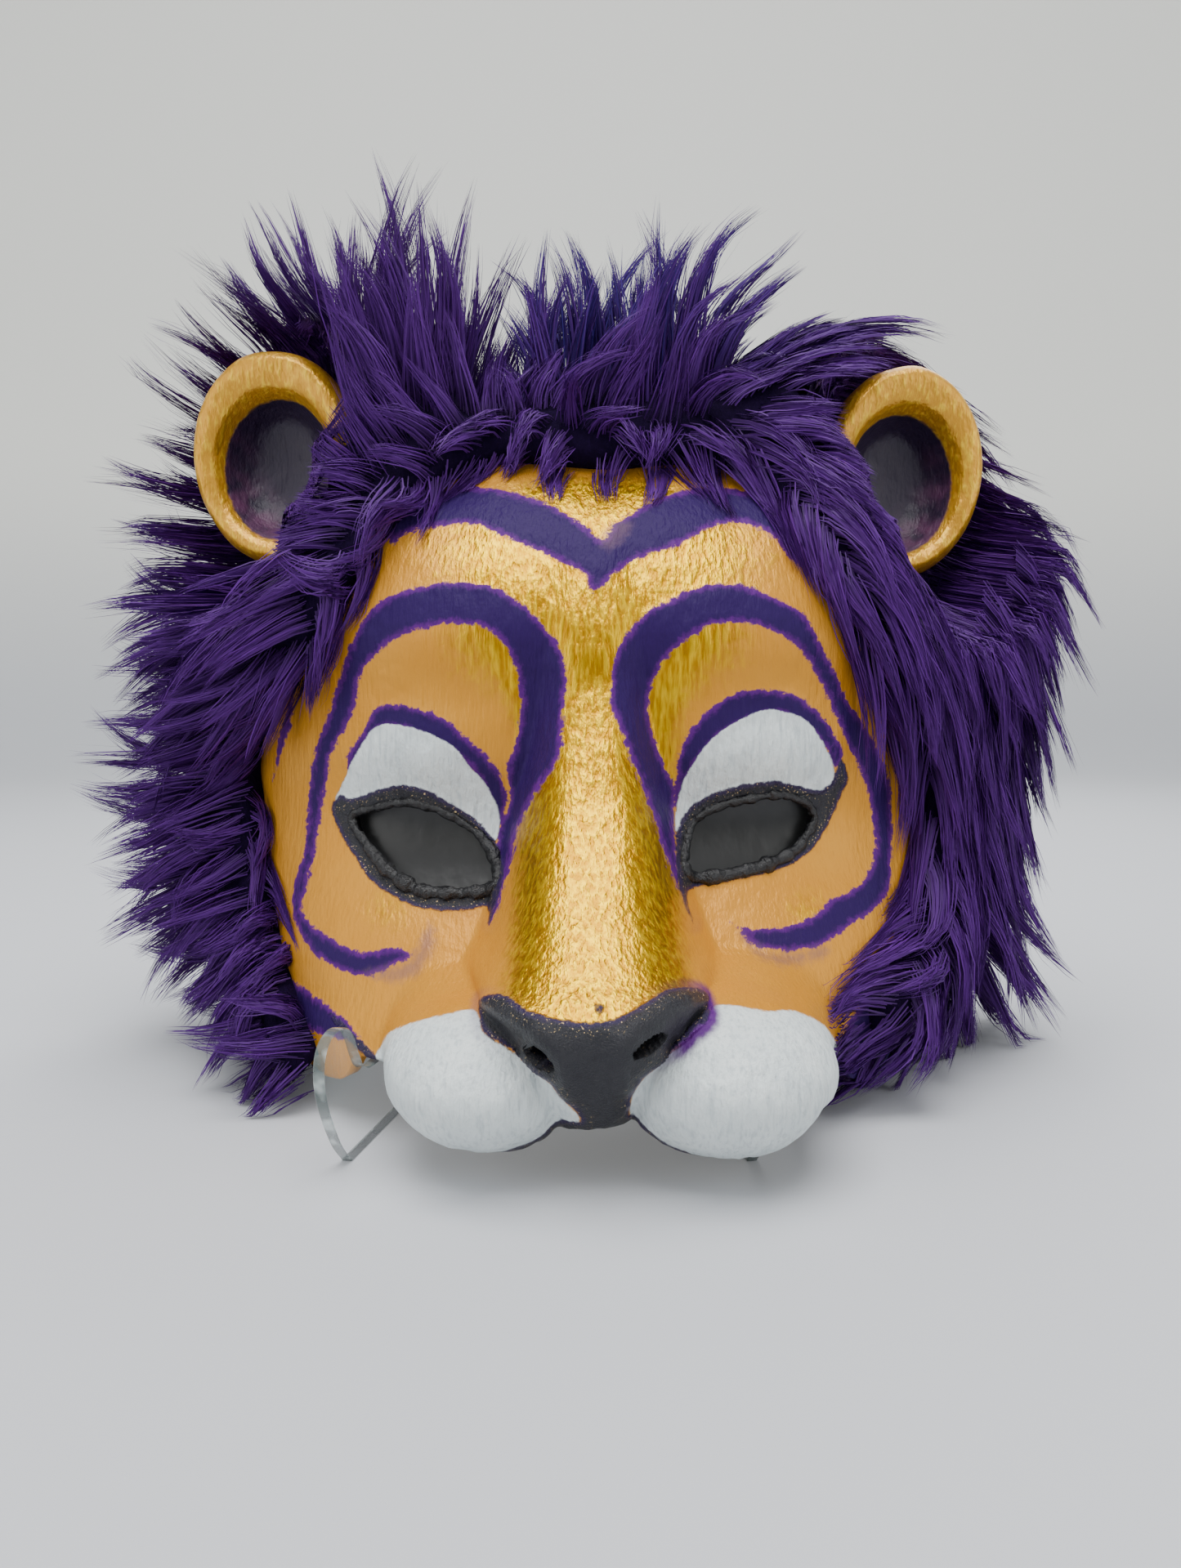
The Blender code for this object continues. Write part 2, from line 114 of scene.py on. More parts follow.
def row_values(table: Array, at: Array, column: int) -> Array:
    """Reads the smooth curve through one column of a table whose first column rises.

    Args:
        table: Rows of numbers.
        at: Places along the first column.
        column: Which column to read.

    Returns:
        The column's value at each place.
    """
    places, values = table[:, 0], table[:, column]
    at = np.clip(at, places[0], places[-1])
    slopes = np.diff(values) / np.diff(places)
    tangents = np.concatenate([slopes[:1], (slopes[:-1] + slopes[1:]) / 2, slopes[-1:]])
    row = np.clip(np.searchsorted(places, at, side="right") - 1, 0, len(places) - 2)
    span = places[row + 1] - places[row]
    t = (at - places[row]) / span
    start = (2 * t**3 - 3 * t**2 + 1) * values[row] + (t**3 - 2 * t**2 + t) * span * tangents[row]
    end = (3 * t**2 - 2 * t**3) * values[row + 1] + (t**3 - t**2) * span * tangents[row + 1]
    return start + end


def smooth_min(a: Array, b: Array, blend: float) -> Array:
    """Returns the lesser of two depths, with the crease between them rounded over the blend."""
    share = np.clip(0.5 + 0.5 * (b - a) / blend, 0, 1)
    return b + (a - b) * share - blend * share * (1 - share)


def ease(low: float, high: float, value: Array) -> Array:
    """Returns a smooth step from 0 at low to 1 at high."""
    t = np.clip((value - low) / (high - low), 0, 1)
    return t * t * (3 - 2 * t)


def patch(x: Array, z: Array, middle: Sequence[float], reach: Sequence[float]) -> Array:
    """Returns a soft oval patch, 1 in its middle and fading to 0."""
    return np.exp(-(((x - middle[0]) / reach[0]) ** 2) - ((z - middle[1]) / reach[1]) ** 2)


def lumps(points: Array, size: float, seed: int, stretch: Sequence[float] = (1, 1, 1)) -> Array:
    """Makes smooth noise.

    Args:
        points: Places in millimetres, (..., 3).
        size: How wide a lump is.
        seed: Which pattern.
        stretch: How many times longer a lump is along each axis.

    Returns:
        A number from -1 to 1 at each place.
    """
    cell = points / (size * np.array(stretch, float))
    base = np.floor(cell).astype(np.int64)
    t = cell - base
    t = t * t * (3 - 2 * t)
    total = np.zeros(points.shape[:-1])
    for corner in np.ndindex(2, 2, 2):
        at = base + corner
        mixed = sum(part * prime for part, prime in zip((*np.moveaxis(at, -1, 0), seed), HASH_PRIMES))
        mixed = (mixed ^ (mixed >> 13)) * 1103515245 & 0x7FFFFFFF
        mixed = (mixed ^ (mixed >> 15)) * 362437 & 0xFFFFFF
        weight = np.prod(np.where(corner, t, 1 - t), axis=-1)
        total += weight * (mixed / 0x7FFFFF - 1)
    return total


def nearest_on(points: Array, line: Array, closed: bool = True) -> tuple[Array, Array]:
    """Finds the place on a line that is nearest to each point.

    Args:
        points: Places, (n, 2).
        line: The line's corners, (m, 2).
        closed: Whether the last corner joins the first.

    Returns:
        The nearest places, (n, 2), and their distances, (n,).
    """
    away, place = np.full(len(points), np.inf), np.array(points, float)
    for start, end in zip(line if closed else line[:-1], np.roll(line, -1, axis=0)):
        edge, reach = end - start, points - start
        t = np.clip(reach @ edge / max(edge @ edge, 1e-9), 0, 1)[:, None]
        off = ((reach - t * edge) ** 2).sum(axis=1)
        closer = off < away
        away[closer], place[closer] = off[closer], start + t[closer] * edge
    return place, np.sqrt(away)


def inside_distance(points: Array, outline: Array) -> Array:
    """Measures how far points lie inside a closed outline, less than nothing outside.

    Args:
        points: Places, (n, 2).
        outline: Corners of the outline, (m, 2).

    Returns:
        Distances, (n,).
    """
    inside = np.zeros(len(points), bool)
    for start, end in zip(outline, np.roll(outline, -1, axis=0)):
        if start[1] != end[1]:
            edge, reach = end - start, points - start
            spans = (start[1] > points[:, 1]) != (end[1] > points[:, 1])
            inside ^= spans & (reach[:, 0] < edge[0] * reach[:, 1] / edge[1])
    return np.where(inside, 1, -1) * nearest_on(points, outline)[1]


def rounded(outline: Sequence[Sequence[float]], per_corner: int = 4, closed: bool = True) -> Array:
    """Draws a smooth curve through corners.

    Args:
        outline: The corners.
        per_corner: Points made for each corner.
        closed: Whether the last corner joins the first.

    Returns:
        Points along the curve, (n, dimensions).
    """
    points = np.array(outline, float)
    if not closed:
        points = np.concatenate([2 * points[:1] - points[1:2], points, 2 * points[-1:] - points[-2:-1]])
    t = (np.arange(per_corner) / per_corner)[None, :, None]
    before, here = np.roll(points, 1, axis=0)[:, None], points[:, None]
    after, beyond = np.roll(points, -1, axis=0)[:, None], np.roll(points, -2, axis=0)[:, None]
    curve = (
        (-0.5 * t + t**2 - 0.5 * t**3) * before
        + (1 - 2.5 * t**2 + 1.5 * t**3) * here
        + (0.5 * t + 2 * t**2 - 1.5 * t**3) * after
        + (-0.5 * t**2 + 0.5 * t**3) * beyond
    )
    if closed:
        return curve.reshape(-1, points.shape[1])
    return np.concatenate([curve[1:-2].reshape(-1, points.shape[1]), points[-2:-1]])


def blurred(values: Array, reach: int) -> Array:
    """Averages each number of a table with those up to reach places away along both axes, twice."""
    for _ in range(2):
        for axis in (0, 1):
            moved = np.moveaxis(values, axis, 0)
            padded = np.concatenate([moved[:1].repeat(reach + 1, 0), moved, moved[-1:].repeat(reach, 0)])
            sums = np.cumsum(padded, axis=0)
            moved = (sums[2 * reach + 1:] - sums[:-2 * reach - 1]) / (2 * reach + 1)
            values = np.moveaxis(moved, 0, axis)
    return values


def grid_normals(grid: Array) -> Array:
    """Returns unit normals of a grid of points, (rows, columns, 3), over x to the right and z up."""
    return unit(np.cross(np.gradient(grid, axis=1), np.gradient(grid, axis=0)))


def grid_quads(rows: int, columns: int, round_rows: bool = False) -> Array:
    """Returns the quads of a grid of points, (n, 4), turned like grid_normals.

    Args:
        rows: Rows of points.
        columns: Points in a row.
        round_rows: Whether each row closes on itself.

    Returns:
        Indices of each quad's corners.
    """
    across = columns if round_rows else columns - 1
    i, j = np.meshgrid(np.arange(rows - 1), np.arange(across), indexing="ij")
    k = (j + 1) % columns
    quads = np.stack([i * columns + j, i * columns + k, (i + 1) * columns + k, (i + 1) * columns + j], -1)
    return quads.reshape(-1, 4)


def edge_loops(faces: Array) -> list[list[int]]:
    """Finds the open edges of a sheet of faces.

    Args:
        faces: Indices of corners, (n, 4).

    Returns:
        One list of corners for each open edge, in the faces' own direction.
    """
    starts, ends = faces.ravel(), np.roll(faces, -1, axis=1).ravel()
    span = int(faces.max()) + 1
    shared = np.isin(starts * span + ends, ends * span + starts)
    follow = dict(zip(starts[~shared].tolist(), ends[~shared].tolist()))
    loops = []
    while follow:
        loop = [next(iter(follow))]
        while loop[-1] in follow:
            loop.append(follow.pop(loop[-1]))
        loops.append(loop[:-1])
    return loops


def zip_loops(points: Array, first: list[int], second: list[int]) -> list[tuple[int, int, int]]:
    """Joins two closed loops that run the same way with a band of triangles.

    Args:
        points: All points, (n, 3).
        first: The loop whose faces the band continues.
        second: The loop on the other side.

    Returns:
        The band's triangles.
    """
    start = int(np.argmin(((points[second] - points[first[0]]) ** 2).sum(axis=1)))
    second = second[start:] + second[:start]
    along = []
    for loop in (first, second):
        steps = np.linalg.norm(points[loop[1:] + loop[:1]] - points[loop], axis=1)
        along.append(np.concatenate([[0], np.cumsum(steps)]) / steps.sum())
    band, i, j = [], 0, 0
    while i < len(first) or j < len(second):
        a, b = first[i % len(first)], second[j % len(second)]
        if j == len(second) or (i < len(first) and along[0][i + 1] <= along[1][j + 1]):
            i += 1
            band.append((first[i % len(first)], a, b))
        else:
            j += 1
            band.append((a, b, second[j % len(second)]))
    return band


# Where things are, and how they become objects


@dataclass(frozen=True)
class Placement:
    """Where the mask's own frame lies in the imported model.

    Attributes:
        x: World X of the face's middle plane, in millimetres.
        y: World Y of the mask's Y = 0, in millimetres.
    """

    x: float
    y: float

    @classmethod
    def from_frame(cls) -> "Placement":
        """Finds the mask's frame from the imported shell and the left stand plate."""
        shell_low, shell_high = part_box("face_shell")
        plate_low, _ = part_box("stand_side_left")
        middle = 0.5 * (shell_low[0] + shell_high[0]) / MM
        return cls(middle, plate_low[1] / MM - DisplayStand.lowest_y())

    def world(self, points: Array) -> Array:
        """Returns points of the mask's frame in world metres."""
        return (np.asarray(points, float) + (self.x, self.y, 0.0)) * MM


@dataclass
class Workshop:
    """Makes objects from points and faces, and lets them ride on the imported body."""

    placement: Placement

    def piece(
        self, name: str, points: Array, faces: Sequence[Array], material: Material,
        replaces: Sequence[str] = (), values: dict[str, Array] | None = None,
    ) -> Object:
        """Makes one visible piece.

        Args:
            name: The piece's name.
            points: Its points in the mask's frame, (..., 3).
            faces: Groups of faces, each an array of corner indices with as many columns as corners.
            material: Its finish.
            replaces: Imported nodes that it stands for.
            values: One number for each point, by name, which the finish reads.

        Returns:
            The new object.
        """
        world = self.placement.world(points).reshape(-1, 3)
        obj = self.mesh_object(name, world, faces, material, values)
        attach(obj, ROOT)
        if replaces:
            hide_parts(*replaces)
        LOG.info("%s: %d points, %d faces", name, len(world), len(obj.data.polygons))
        return obj

    @staticmethod
    def mesh_object(
        name: str, points: Array, faces: Sequence[Array], material: Material,
        values: dict[str, Array] | None = None,
    ) -> Object:
        """Makes an object from points in metres, smoothly shaded.

        Args:
            name: The object's name.
            points: Its points, (n, 3).
            faces: Groups of faces.
            material: Its finish.
            values: One number for each point, by name.

        Returns:
            The new object.
        """
        groups = [np.asarray(group, np.int32) for group in faces if len(group)]
        sizes = np.concatenate([np.full(len(group), group.shape[1]) for group in groups])
        mesh = bpy.data.meshes.new(name)
        mesh.vertices.add(len(points))
        mesh.vertices.foreach_set("co", np.asarray(points, np.float32).ravel())
        mesh.loops.add(int(sizes.sum()))
        mesh.loops.foreach_set("vertex_index", np.concatenate([group.ravel() for group in groups]))
        mesh.polygons.add(len(sizes))
        mesh.polygons.foreach_set("loop_start", (np.cumsum(sizes) - sizes).astype(np.int32))
        mesh.update(calc_edges=True)
        mesh.validate()
        mesh.shade_smooth()
        for key, numbers in (values or {}).items():
            stored = mesh.attributes.new(key, "FLOAT", "POINT")
            stored.data.foreach_set("value", np.asarray(numbers, np.float32).ravel())
        mesh.materials.append(material)
        obj = bpy.data.objects.new(name, mesh)
        bpy.context.scene.collection.objects.link(obj)
        return obj


@dataclass(frozen=True)
class PhotoCamera:
    """The photograph's camera, held level and pitched a little down.

    Attributes:
        place: Where it stands in the mask's frame.
        pitch: How far it looks down, in degrees.
        focal: Its focal length in pixels of the photograph.
        width, height: The photograph's size in pixels.
        sensor: Its sensor's long side, in millimetres.
    """

    place: Triple = VIEWPOINT
    pitch: float = 5.0
    focal: float = 1400.0
    width: int = 1445
    height: int = 1919
    sensor: float = 36.0

    def project(self, points: Array) -> tuple[Array, Array]:
        """Finds where points appear in the photograph.

        Args:
            points: Places in the mask's frame, (..., 3).

        Returns:
            Their pixels, (..., 2), and how many millimetres one pixel spans there.
        """
        turn = math.radians(self.pitch)
        x, y, z = np.moveaxis(np.asarray(points, float) - self.place, -1, 0)
        scale = (y * math.cos(turn) - z * math.sin(turn)) / self.focal
        up = y * math.sin(turn) + z * math.cos(turn)
        return np.stack([self.width / 2 + x / scale, self.height / 2 - up / scale], -1), scale

    def build(self, placement: Placement) -> None:
        """Makes the scene's camera."""
        data = bpy.data.cameras.new("photo_camera")
        data.sensor_width = self.sensor
        data.lens = self.sensor * self.focal / self.height
        data.clip_start = 10 * MM
        camera = bpy.data.objects.new("photo_camera", data)
        camera.location = placement.world(np.array(self.place))
        camera.rotation_euler = (math.radians(90 - self.pitch), 0, 0)
        bpy.context.scene.collection.objects.link(camera)
        bpy.context.scene.camera = camera


# Finishes


@dataclass
class Recipe:
    """A material under construction: short calls that add nodes and join them."""

    name: str
    material: Material = field(init=False)

    def __post_init__(self) -> None:
        """Starts from a plain Principled surface."""
        self.material = bpy.data.materials.new(self.name)
        self.material.use_nodes = True
        self.tree = self.material.node_tree
        self.surface = self.tree.nodes["Principled BSDF"]
        self.place = self.node("ShaderNodeTexCoord").outputs["Object"]

    def node(self, kind: str, **settings: object) -> bpy.types.Node:
        """Adds a node with the given settings."""
        made = self.tree.nodes.new(kind)
        for key, value in settings.items():
            setattr(made, key, value)
        return made

    def feed(self, socket: Socket, value: object) -> None:
        """Links a node's output to a socket, or sets a plain value on it."""
        if isinstance(value, Socket):
            self.tree.links.new(value, socket)
        elif isinstance(value, tuple) and len(value) == 3 and socket.type == "RGBA":
            socket.default_value = (*value, 1.0)
        else:
            socket.default_value = value

    def set(self, **values: object) -> None:
        """Feeds the Principled surface's sockets, whose names are given with _ for a space."""
        for key, value in values.items():
            self.feed(self.surface.inputs[key.replace("_", " ")], value)

    def value(self, name: str) -> Socket:
        """Reads a number that is stored on the mesh."""
        return self.node("ShaderNodeAttribute", attribute_name=name).outputs["Fac"]

    def math(self, operation: str, a: object, b: object) -> Socket:
        """Works out a Math node's operation on two numbers."""
        made = self.node("ShaderNodeMath", operation=operation)
        self.feed(made.inputs[0], a)
        self.feed(made.inputs[1], b)
        return made.outputs[0]

    def plus(self, a: object, b: object) -> Socket:
        """Adds two numbers."""
        return self.math("ADD", a, b)

    def times(self, a: object, b: object) -> Socket:
        """Multiplies two numbers."""
        return self.math("MULTIPLY", a, b)

    def frayed(self, name: str, ragged: Socket, reach: float) -> Socket:
        """Reads a number that is stored on the mesh, and frays it by ragged noise over a reach."""
        return self.plus(self.value(name), self.times(ragged, reach))

    def noise(
        self, size: float, detail: float = 2.0, rough: float = 0.5, stretch: Triple = (1, 1, 1)
    ) -> Socket:
        """Makes noise.

        Args:
            size: How wide a lump is, in millimetres.
            detail: How many finer layers are added.
            rough: How strong those are.
            stretch: How many times longer a lump is along each axis.

        Returns:
            A number from 0 to 1.
        """
        mapping = self.node("ShaderNodeMapping")
        mapping.inputs["Scale"].default_value = tuple(1 / s for s in stretch)
        self.feed(mapping.inputs["Vector"], self.place)
        made = self.node("ShaderNodeTexNoise")
        self.feed(made.inputs["Vector"], mapping.outputs[0])
        for key, value in (("Scale", 1 / (size * MM)), ("Detail", detail), ("Roughness", rough)):
            made.inputs[key].default_value = value
        return made.outputs["Fac"]

    def step(self, value: object, low: float, high: float) -> Socket:
        """Makes a smooth step from 0 at low to 1 at high."""
        made = self.node("ShaderNodeMapRange", interpolation_type="SMOOTHSTEP")
        self.feed(made.inputs["Value"], value)
        made.inputs["From Min"].default_value = low
        made.inputs["From Max"].default_value = high
        return made.outputs["Result"]

    def mix(self, share: object, a: object, b: object) -> Socket:
        """Mixes two colours: a at share 0, b at share 1."""
        made = self.node("ShaderNodeMix", data_type="RGBA")
        sockets = [socket for socket in made.inputs if socket.type == "RGBA"]
        self.feed(made.inputs[0], share)
        self.feed(sockets[0], a)
        self.feed(sockets[1], b)
        return next(socket for socket in made.outputs if socket.type == "RGBA")

    def mix_number(self, share: object, a: object, b: object) -> Socket:
        """Mixes two numbers: a at share 0, b at share 1."""
        made = self.node("ShaderNodeMix", data_type="FLOAT")
        self.feed(made.inputs[0], share)
        self.feed(made.inputs[2], a)
        self.feed(made.inputs[3], b)
        return made.outputs[0]

    def bump(self, height: object, depth: float, onto: object = None) -> Socket:
        """Turns a height from 0 to 1 into relief.

        Args:
            height: The height.
            depth: How deep it is, in millimetres.
            onto: Relief that it is laid on.

        Returns:
            A normal.
        """
        made = self.node("ShaderNodeBump")
        made.inputs["Strength"].default_value = 1.0
        made.inputs["Distance"].default_value = depth * MM
        self.feed(made.inputs["Height"], height)
        if onto is not None:
            self.feed(made.inputs["Normal"], onto)
        return made.outputs[0]


def srgb(red: int, green: int, blue: int) -> Triple:
    """Returns a screen colour, each part from 0 to 255, as light."""
    parts = (value / 255 for value in (red, green, blue))
    return tuple(part / 12.92 if part <= 0.04045 else ((part + 0.055) / 1.055) ** 2.4 for part in parts)


@dataclass(frozen=True)
class FacePaint:
    """Satin ochre and metallic gold under dark purple stripes, white patches and black lacquer."""

    ochre: Triple = srgb(194, 128, 30)
    pale_ochre: Triple = srgb(208, 146, 50)
    gold: Triple = srgb(224, 180, 4)
    gold_shade: Triple = srgb(176, 124, 4)
    purple: Triple = srgb(42, 22, 76)
    bright_purple: Triple = srgb(84, 28, 112)
    white: Triple = srgb(226, 232, 230)
    shaded_white: Triple = srgb(196, 206, 208)
    # groove_shade is painted shade for the hollows of the white's crinkles.
    groove_shade: Triple = srgb(190, 199, 201)
    black: Triple = srgb(34, 34, 40)
    black_violet: Triple = srgb(40, 26, 66)
    speck: Triple = srgb(226, 196, 140)
    mauve_patch: Triple = srgb(104, 78, 96)

    def material(self) -> Material:
        """Builds the finish from the distances stored on the shell."""
        r = Recipe("hand_painted_face")
        ragged = r.plus(r.noise(2.0, 3, 0.7), -0.5)
        streaks = r.noise(0.95, 2, 0.55, stretch=(1, 1.5, 7))
        gilt = r.step(r.frayed("gilt", ragged, 0.5), 0.25, 0.75)
        ochre = r.mix(r.noise(22), self.ochre, self.pale_ochre)
        gold = r.mix(r.step(streaks, 0.35, 0.7), self.gold_shade, self.gold)
        colour = r.mix(gilt, ochre, gold)

        stripe_at = r.frayed("stripe", ragged, 3.0)
        stripe = r.step(stripe_at, -0.25, 0.35)
        body = r.step(r.plus(stripe_at, r.times(streaks, 0.8)), 0.7, 2.2)
        colour = r.mix(stripe, colour, r.mix(body, self.bright_purple, self.purple))

        white = r.step(r.frayed("white", ragged, 1.0), -0.2, 0.3)
        chalk = r.mix(r.noise(9, 3), self.shaded_white, self.white)
        # The white is darker in the low grooves of the crinkle streaks: painted shade.
        chalk = r.mix(r.step(streaks, 0.56, 0.26), chalk, self.groove_shade)
        colour = r.mix(white, colour, chalk)

        # Soft grey-mauve patches darken the paint below the brow stripes' tails and in the top arch's notch.
        mauve_patch = r.step(r.frayed("mauve_patch", ragged, 4.0), -1.6, 1.6)
        colour = r.mix(r.times(mauve_patch, 0.55), colour, self.mauve_patch)

        black_at = r.frayed("black", ragged, 1.3)
        halo = r.times(r.step(black_at, -2.8, -0.9), r.value("halo"))
        colour = r.mix(halo, colour, self.bright_purple)
        black = r.step(black_at, -0.25, 0.3)
        lacquer = r.mix(r.step(black_at, 0.3, 1.4), self.black_violet, self.black)
        edge = r.times(r.step(black_at, 0.1, 0.6), r.step(black_at, 3.2, 1.2))
        specks = r.times(edge, r.step(r.noise(0.45, 1), 0.66, 0.72))
        colour = r.mix(black, colour, r.mix(r.times(specks, 0.7), lacquer, self.speck))

        metal, sheen = r.mix_number(gilt, 0.22, 0.88), r.mix_number(gilt, 0.40, 0.34)
        for paint, rough in ((stripe, 0.46), (white, 0.55), (black, 0.30)):
            metal, sheen = r.mix_number(paint, metal, 0.0), r.mix_number(paint, sheen, rough)
        gloss = r.mix_number(black, r.mix_number(stripe, 0.22, 0.08), 0.35)
        r.set(Base_Color=colour, Metallic=metal, Roughness=sheen, Specular_IOR_Level=gloss)

        grain = r.bump(r.noise(1.6, 2, 0.6), 0.12)
        grain = r.bump(r.times(streaks, r.mix_number(gilt, 0.7, 1.0)), 0.42, onto=grain)
        grit = r.times(r.noise(0.5, 3, 0.7), black)
        plaster = r.times(r.noise(1.2, 3, 0.6, stretch=(1, 1, 2.5)), white)
        r.set(Normal=r.bump(grit, 0.4, onto=r.bump(plaster, 0.5, onto=grain)))
        return r.material


@dataclass(frozen=True)
class BackPaper:
    """Bare layered paper, as the inside of the shell shows it."""

    paper: Triple = srgb(196, 186, 164)
    shade: Triple = srgb(160, 148, 124)

    def material(self) -> Material:
        """Builds the finish."""
        r = Recipe("bare_paper")
        strips = r.noise(9, 3, 0.6, stretch=(3, 1, 1))
        r.set(Base_Color=r.mix(strips, self.shade, self.paper), Roughness=0.85)
        r.set(Normal=r.bump(strips, 0.5))
        return r.material


@dataclass(frozen=True)
class Lacquer:
    """Thick glossy black lacquer with grit in it, on the rims of the eyes."""

    black: Triple = srgb(16, 16, 19)

    def material(self) -> Material:
        """Builds the finish."""
        r = Recipe("black_lacquer")
        r.set(Base_Color=self.black, Roughness=0.2)
        r.set(Normal=r.bump(r.noise(0.8, 3, 0.7), 0.5))
        return r.material


@dataclass(frozen=True)
class DarkFilm:
    """Thin dark film that the wearer looks through."""

    tint: Triple = srgb(12, 12, 12)
    cover: float = 0.95

    def material(self) -> Material:
        """Builds the finish."""
        r = Recipe("dark_eye_film")
        r.set(Base_Color=self.tint, Roughness=0.35, Alpha=self.cover)
        r.set(Normal=r.bump(r.noise(4), 0.15))
        return r.material


@dataclass(frozen=True)
class EarPaint:
    """Satin gold outside and on the rim, dark purple in the cup, and painted maroon light on its lower wall.
    """

    gold: Triple = srgb(204, 146, 34)
    gold_highlight: Triple = srgb(236, 190, 46)
    dark: Triple = srgb(34, 22, 48)
    lit_maroon: Triple = srgb(92, 50, 84)

    def material(self) -> Material:
        """Builds the finish from the numbers stored on the ear."""
        r = Recipe("painted_ear_gold")
        ragged = r.plus(r.noise(2.5, 3, 0.6), -0.5)
        brushed = r.noise(1.2, 2, 0.6, stretch=(1, 1, 3))
        cup = r.step(r.frayed("cup", ragged, 1.8), -0.5, 0.9)
        # Painted light: the cup's lower, outer wall is lightened from dark purple to maroon.
        painted_cup_light = r.times(r.value("painted_cup_light"), r.step(r.noise(6), 0.3, 0.7))
        # The ridges of the brushed relief get a lighter gold: painted highlight.
        gold = r.mix(r.step(brushed, 0.45, 0.75), self.gold, self.gold_highlight)
        r.set(Base_Color=r.mix(cup, gold, r.mix(painted_cup_light, self.dark, self.lit_maroon)))
        r.set(Metallic=r.mix_number(cup, 0.45, 0.0), Roughness=r.mix_number(cup, 0.36, 0.5))
        r.set(Normal=r.bump(brushed, 0.3, onto=r.bump(r.noise(3), 0.3)))
        return r.material


@dataclass(frozen=True)
class ClearSheet:
    """Clear polished acrylic: nearly unseen faces, and grey-green edges with painted highlights in bands."""

    face_tint: Triple = srgb(225, 235, 235)
    edge_tint: Triple = srgb(92, 104, 102)
    edge_light: Triple = srgb(206, 216, 214)
    refraction: float = 1.49

    def faces(self) -> Material:
        """Builds the finish of the wide faces."""
        r = Recipe("clear_acrylic_face")
        r.set(Base_Color=self.face_tint, Roughness=0.04, IOR=self.refraction)
        r.set(Alpha=r.mix_number(r.noise(14), 0.05, 0.12))
        return r.material

    def edges(self) -> Material:
        """Builds the finish of the cut edges."""
        r = Recipe("clear_acrylic_edge")
        # Lighter bands along the edges are painted highlights.
        band = r.step(r.noise(7), 0.52, 0.7)
        r.set(Base_Color=r.mix(band, self.edge_tint, self.edge_light), Roughness=0.12, IOR=self.refraction)
        r.set(Alpha=r.mix_number(band, 0.72, 0.85))
        return r.material


@dataclass(frozen=True)
class FurFinish:
    """Long synthetic fur: painted shade makes it dark violet at the roots, lighter along the strands."""

    root: Triple = srgb(18, 4, 36)
    body: Triple = srgb(54, 12, 84)
    light: Triple = srgb(88, 36, 126)
    blue: Triple = srgb(50, 36, 116)
    cloth_in_shade: Triple = srgb(10, 4, 20)
    pale_cloth_in_shade: Triple = srgb(24, 9, 44)

    def strands(self) -> Material:
        """Builds the finish of the strands from the numbers stored on them."""
        r = Recipe("violet_fur")
        # Strands darken towards their roots: painted shade of the pile's depths.
        colour = r.mix(r.step(r.value("along"), 0.0, 0.55), self.root, self.body)
        colour = r.mix(r.value("tone"), colour, self.light)
        colour = r.mix(r.value("blue"), colour, self.blue)
        r.set(Base_Color=colour, Roughness=0.52, Specular_IOR_Level=0.16)
        return r.material

    def backing(self) -> Material:
        """Builds the finish of the knitted cloth that the strands grow from, deepened by painted shade."""
        r = Recipe("fur_backing")
        knit = r.noise(0.9, 2, 0.6, stretch=(1, 1, 2))
        # The cloth's dark violet is deepened to near black as painted shade where the locks part.
        r.set(Base_Color=r.mix(knit, self.cloth_in_shade, self.pale_cloth_in_shade), Roughness=0.9, Specular_IOR_Level=0.05)
        r.set(Normal=r.bump(knit, 0.4))
        return r.material


# The painted pattern


class Paint(Enum):
    """What a painted outline is filled with."""

    STRIPE = "stripe"
    WHITE = "white"
    BLACK = "black"
    MAUVE_PATCH = "mauve_patch"


TOP_ARCH: Outline = (
    (478, 632), (500, 613), (540, 602), (570, 596), (608, 600), (652, 610), (690, 628), (722, 648),
    (737, 660), (758, 637), (803, 613), (841, 600), (888, 597), (905, 599), (949, 610), (990, 632),
    (1000, 700), (966, 683), (955, 666), (932, 648), (900, 638), (864, 648), (829, 669), (788, 681),
    (759, 698), (726, 726), (716, 704), (678, 684), (634, 666), (593, 646), (564, 641), (502, 651),
    (478, 668),
)
LEFT_BROW: Outline = (
    (598, 1131), (616, 1085), (629, 1044), (637, 1013), (657, 973), (678, 942), (688, 916), (690, 881),
    (692, 833), (690, 801), (670, 772), (652, 751), (626, 731), (593, 716), (549, 713), (499, 722),
    (455, 745), (429, 789), (412, 840), (397, 886), (387, 914), (379, 955), (376, 993), (371, 1044),
    (359, 1085), (360, 1121), (374, 1151), (394, 1174), (422, 1189), (448, 1195), (466, 1189),
    (486, 1179), (504, 1172), (494, 1163), (479, 1159), (463, 1163), (438, 1164), (415, 1154),
    (394, 1141), (376, 1123), (371, 1105), (379, 1075), (389, 1024), (399, 968), (405, 924), (420, 896),
    (435, 860), (441, 827), (464, 798), (488, 780), (529, 766), (564, 763), (593, 769), (617, 789),
    (631, 816), (637, 857), (634, 892), (627, 916), (620, 942), (624, 983), (609, 1019),
)
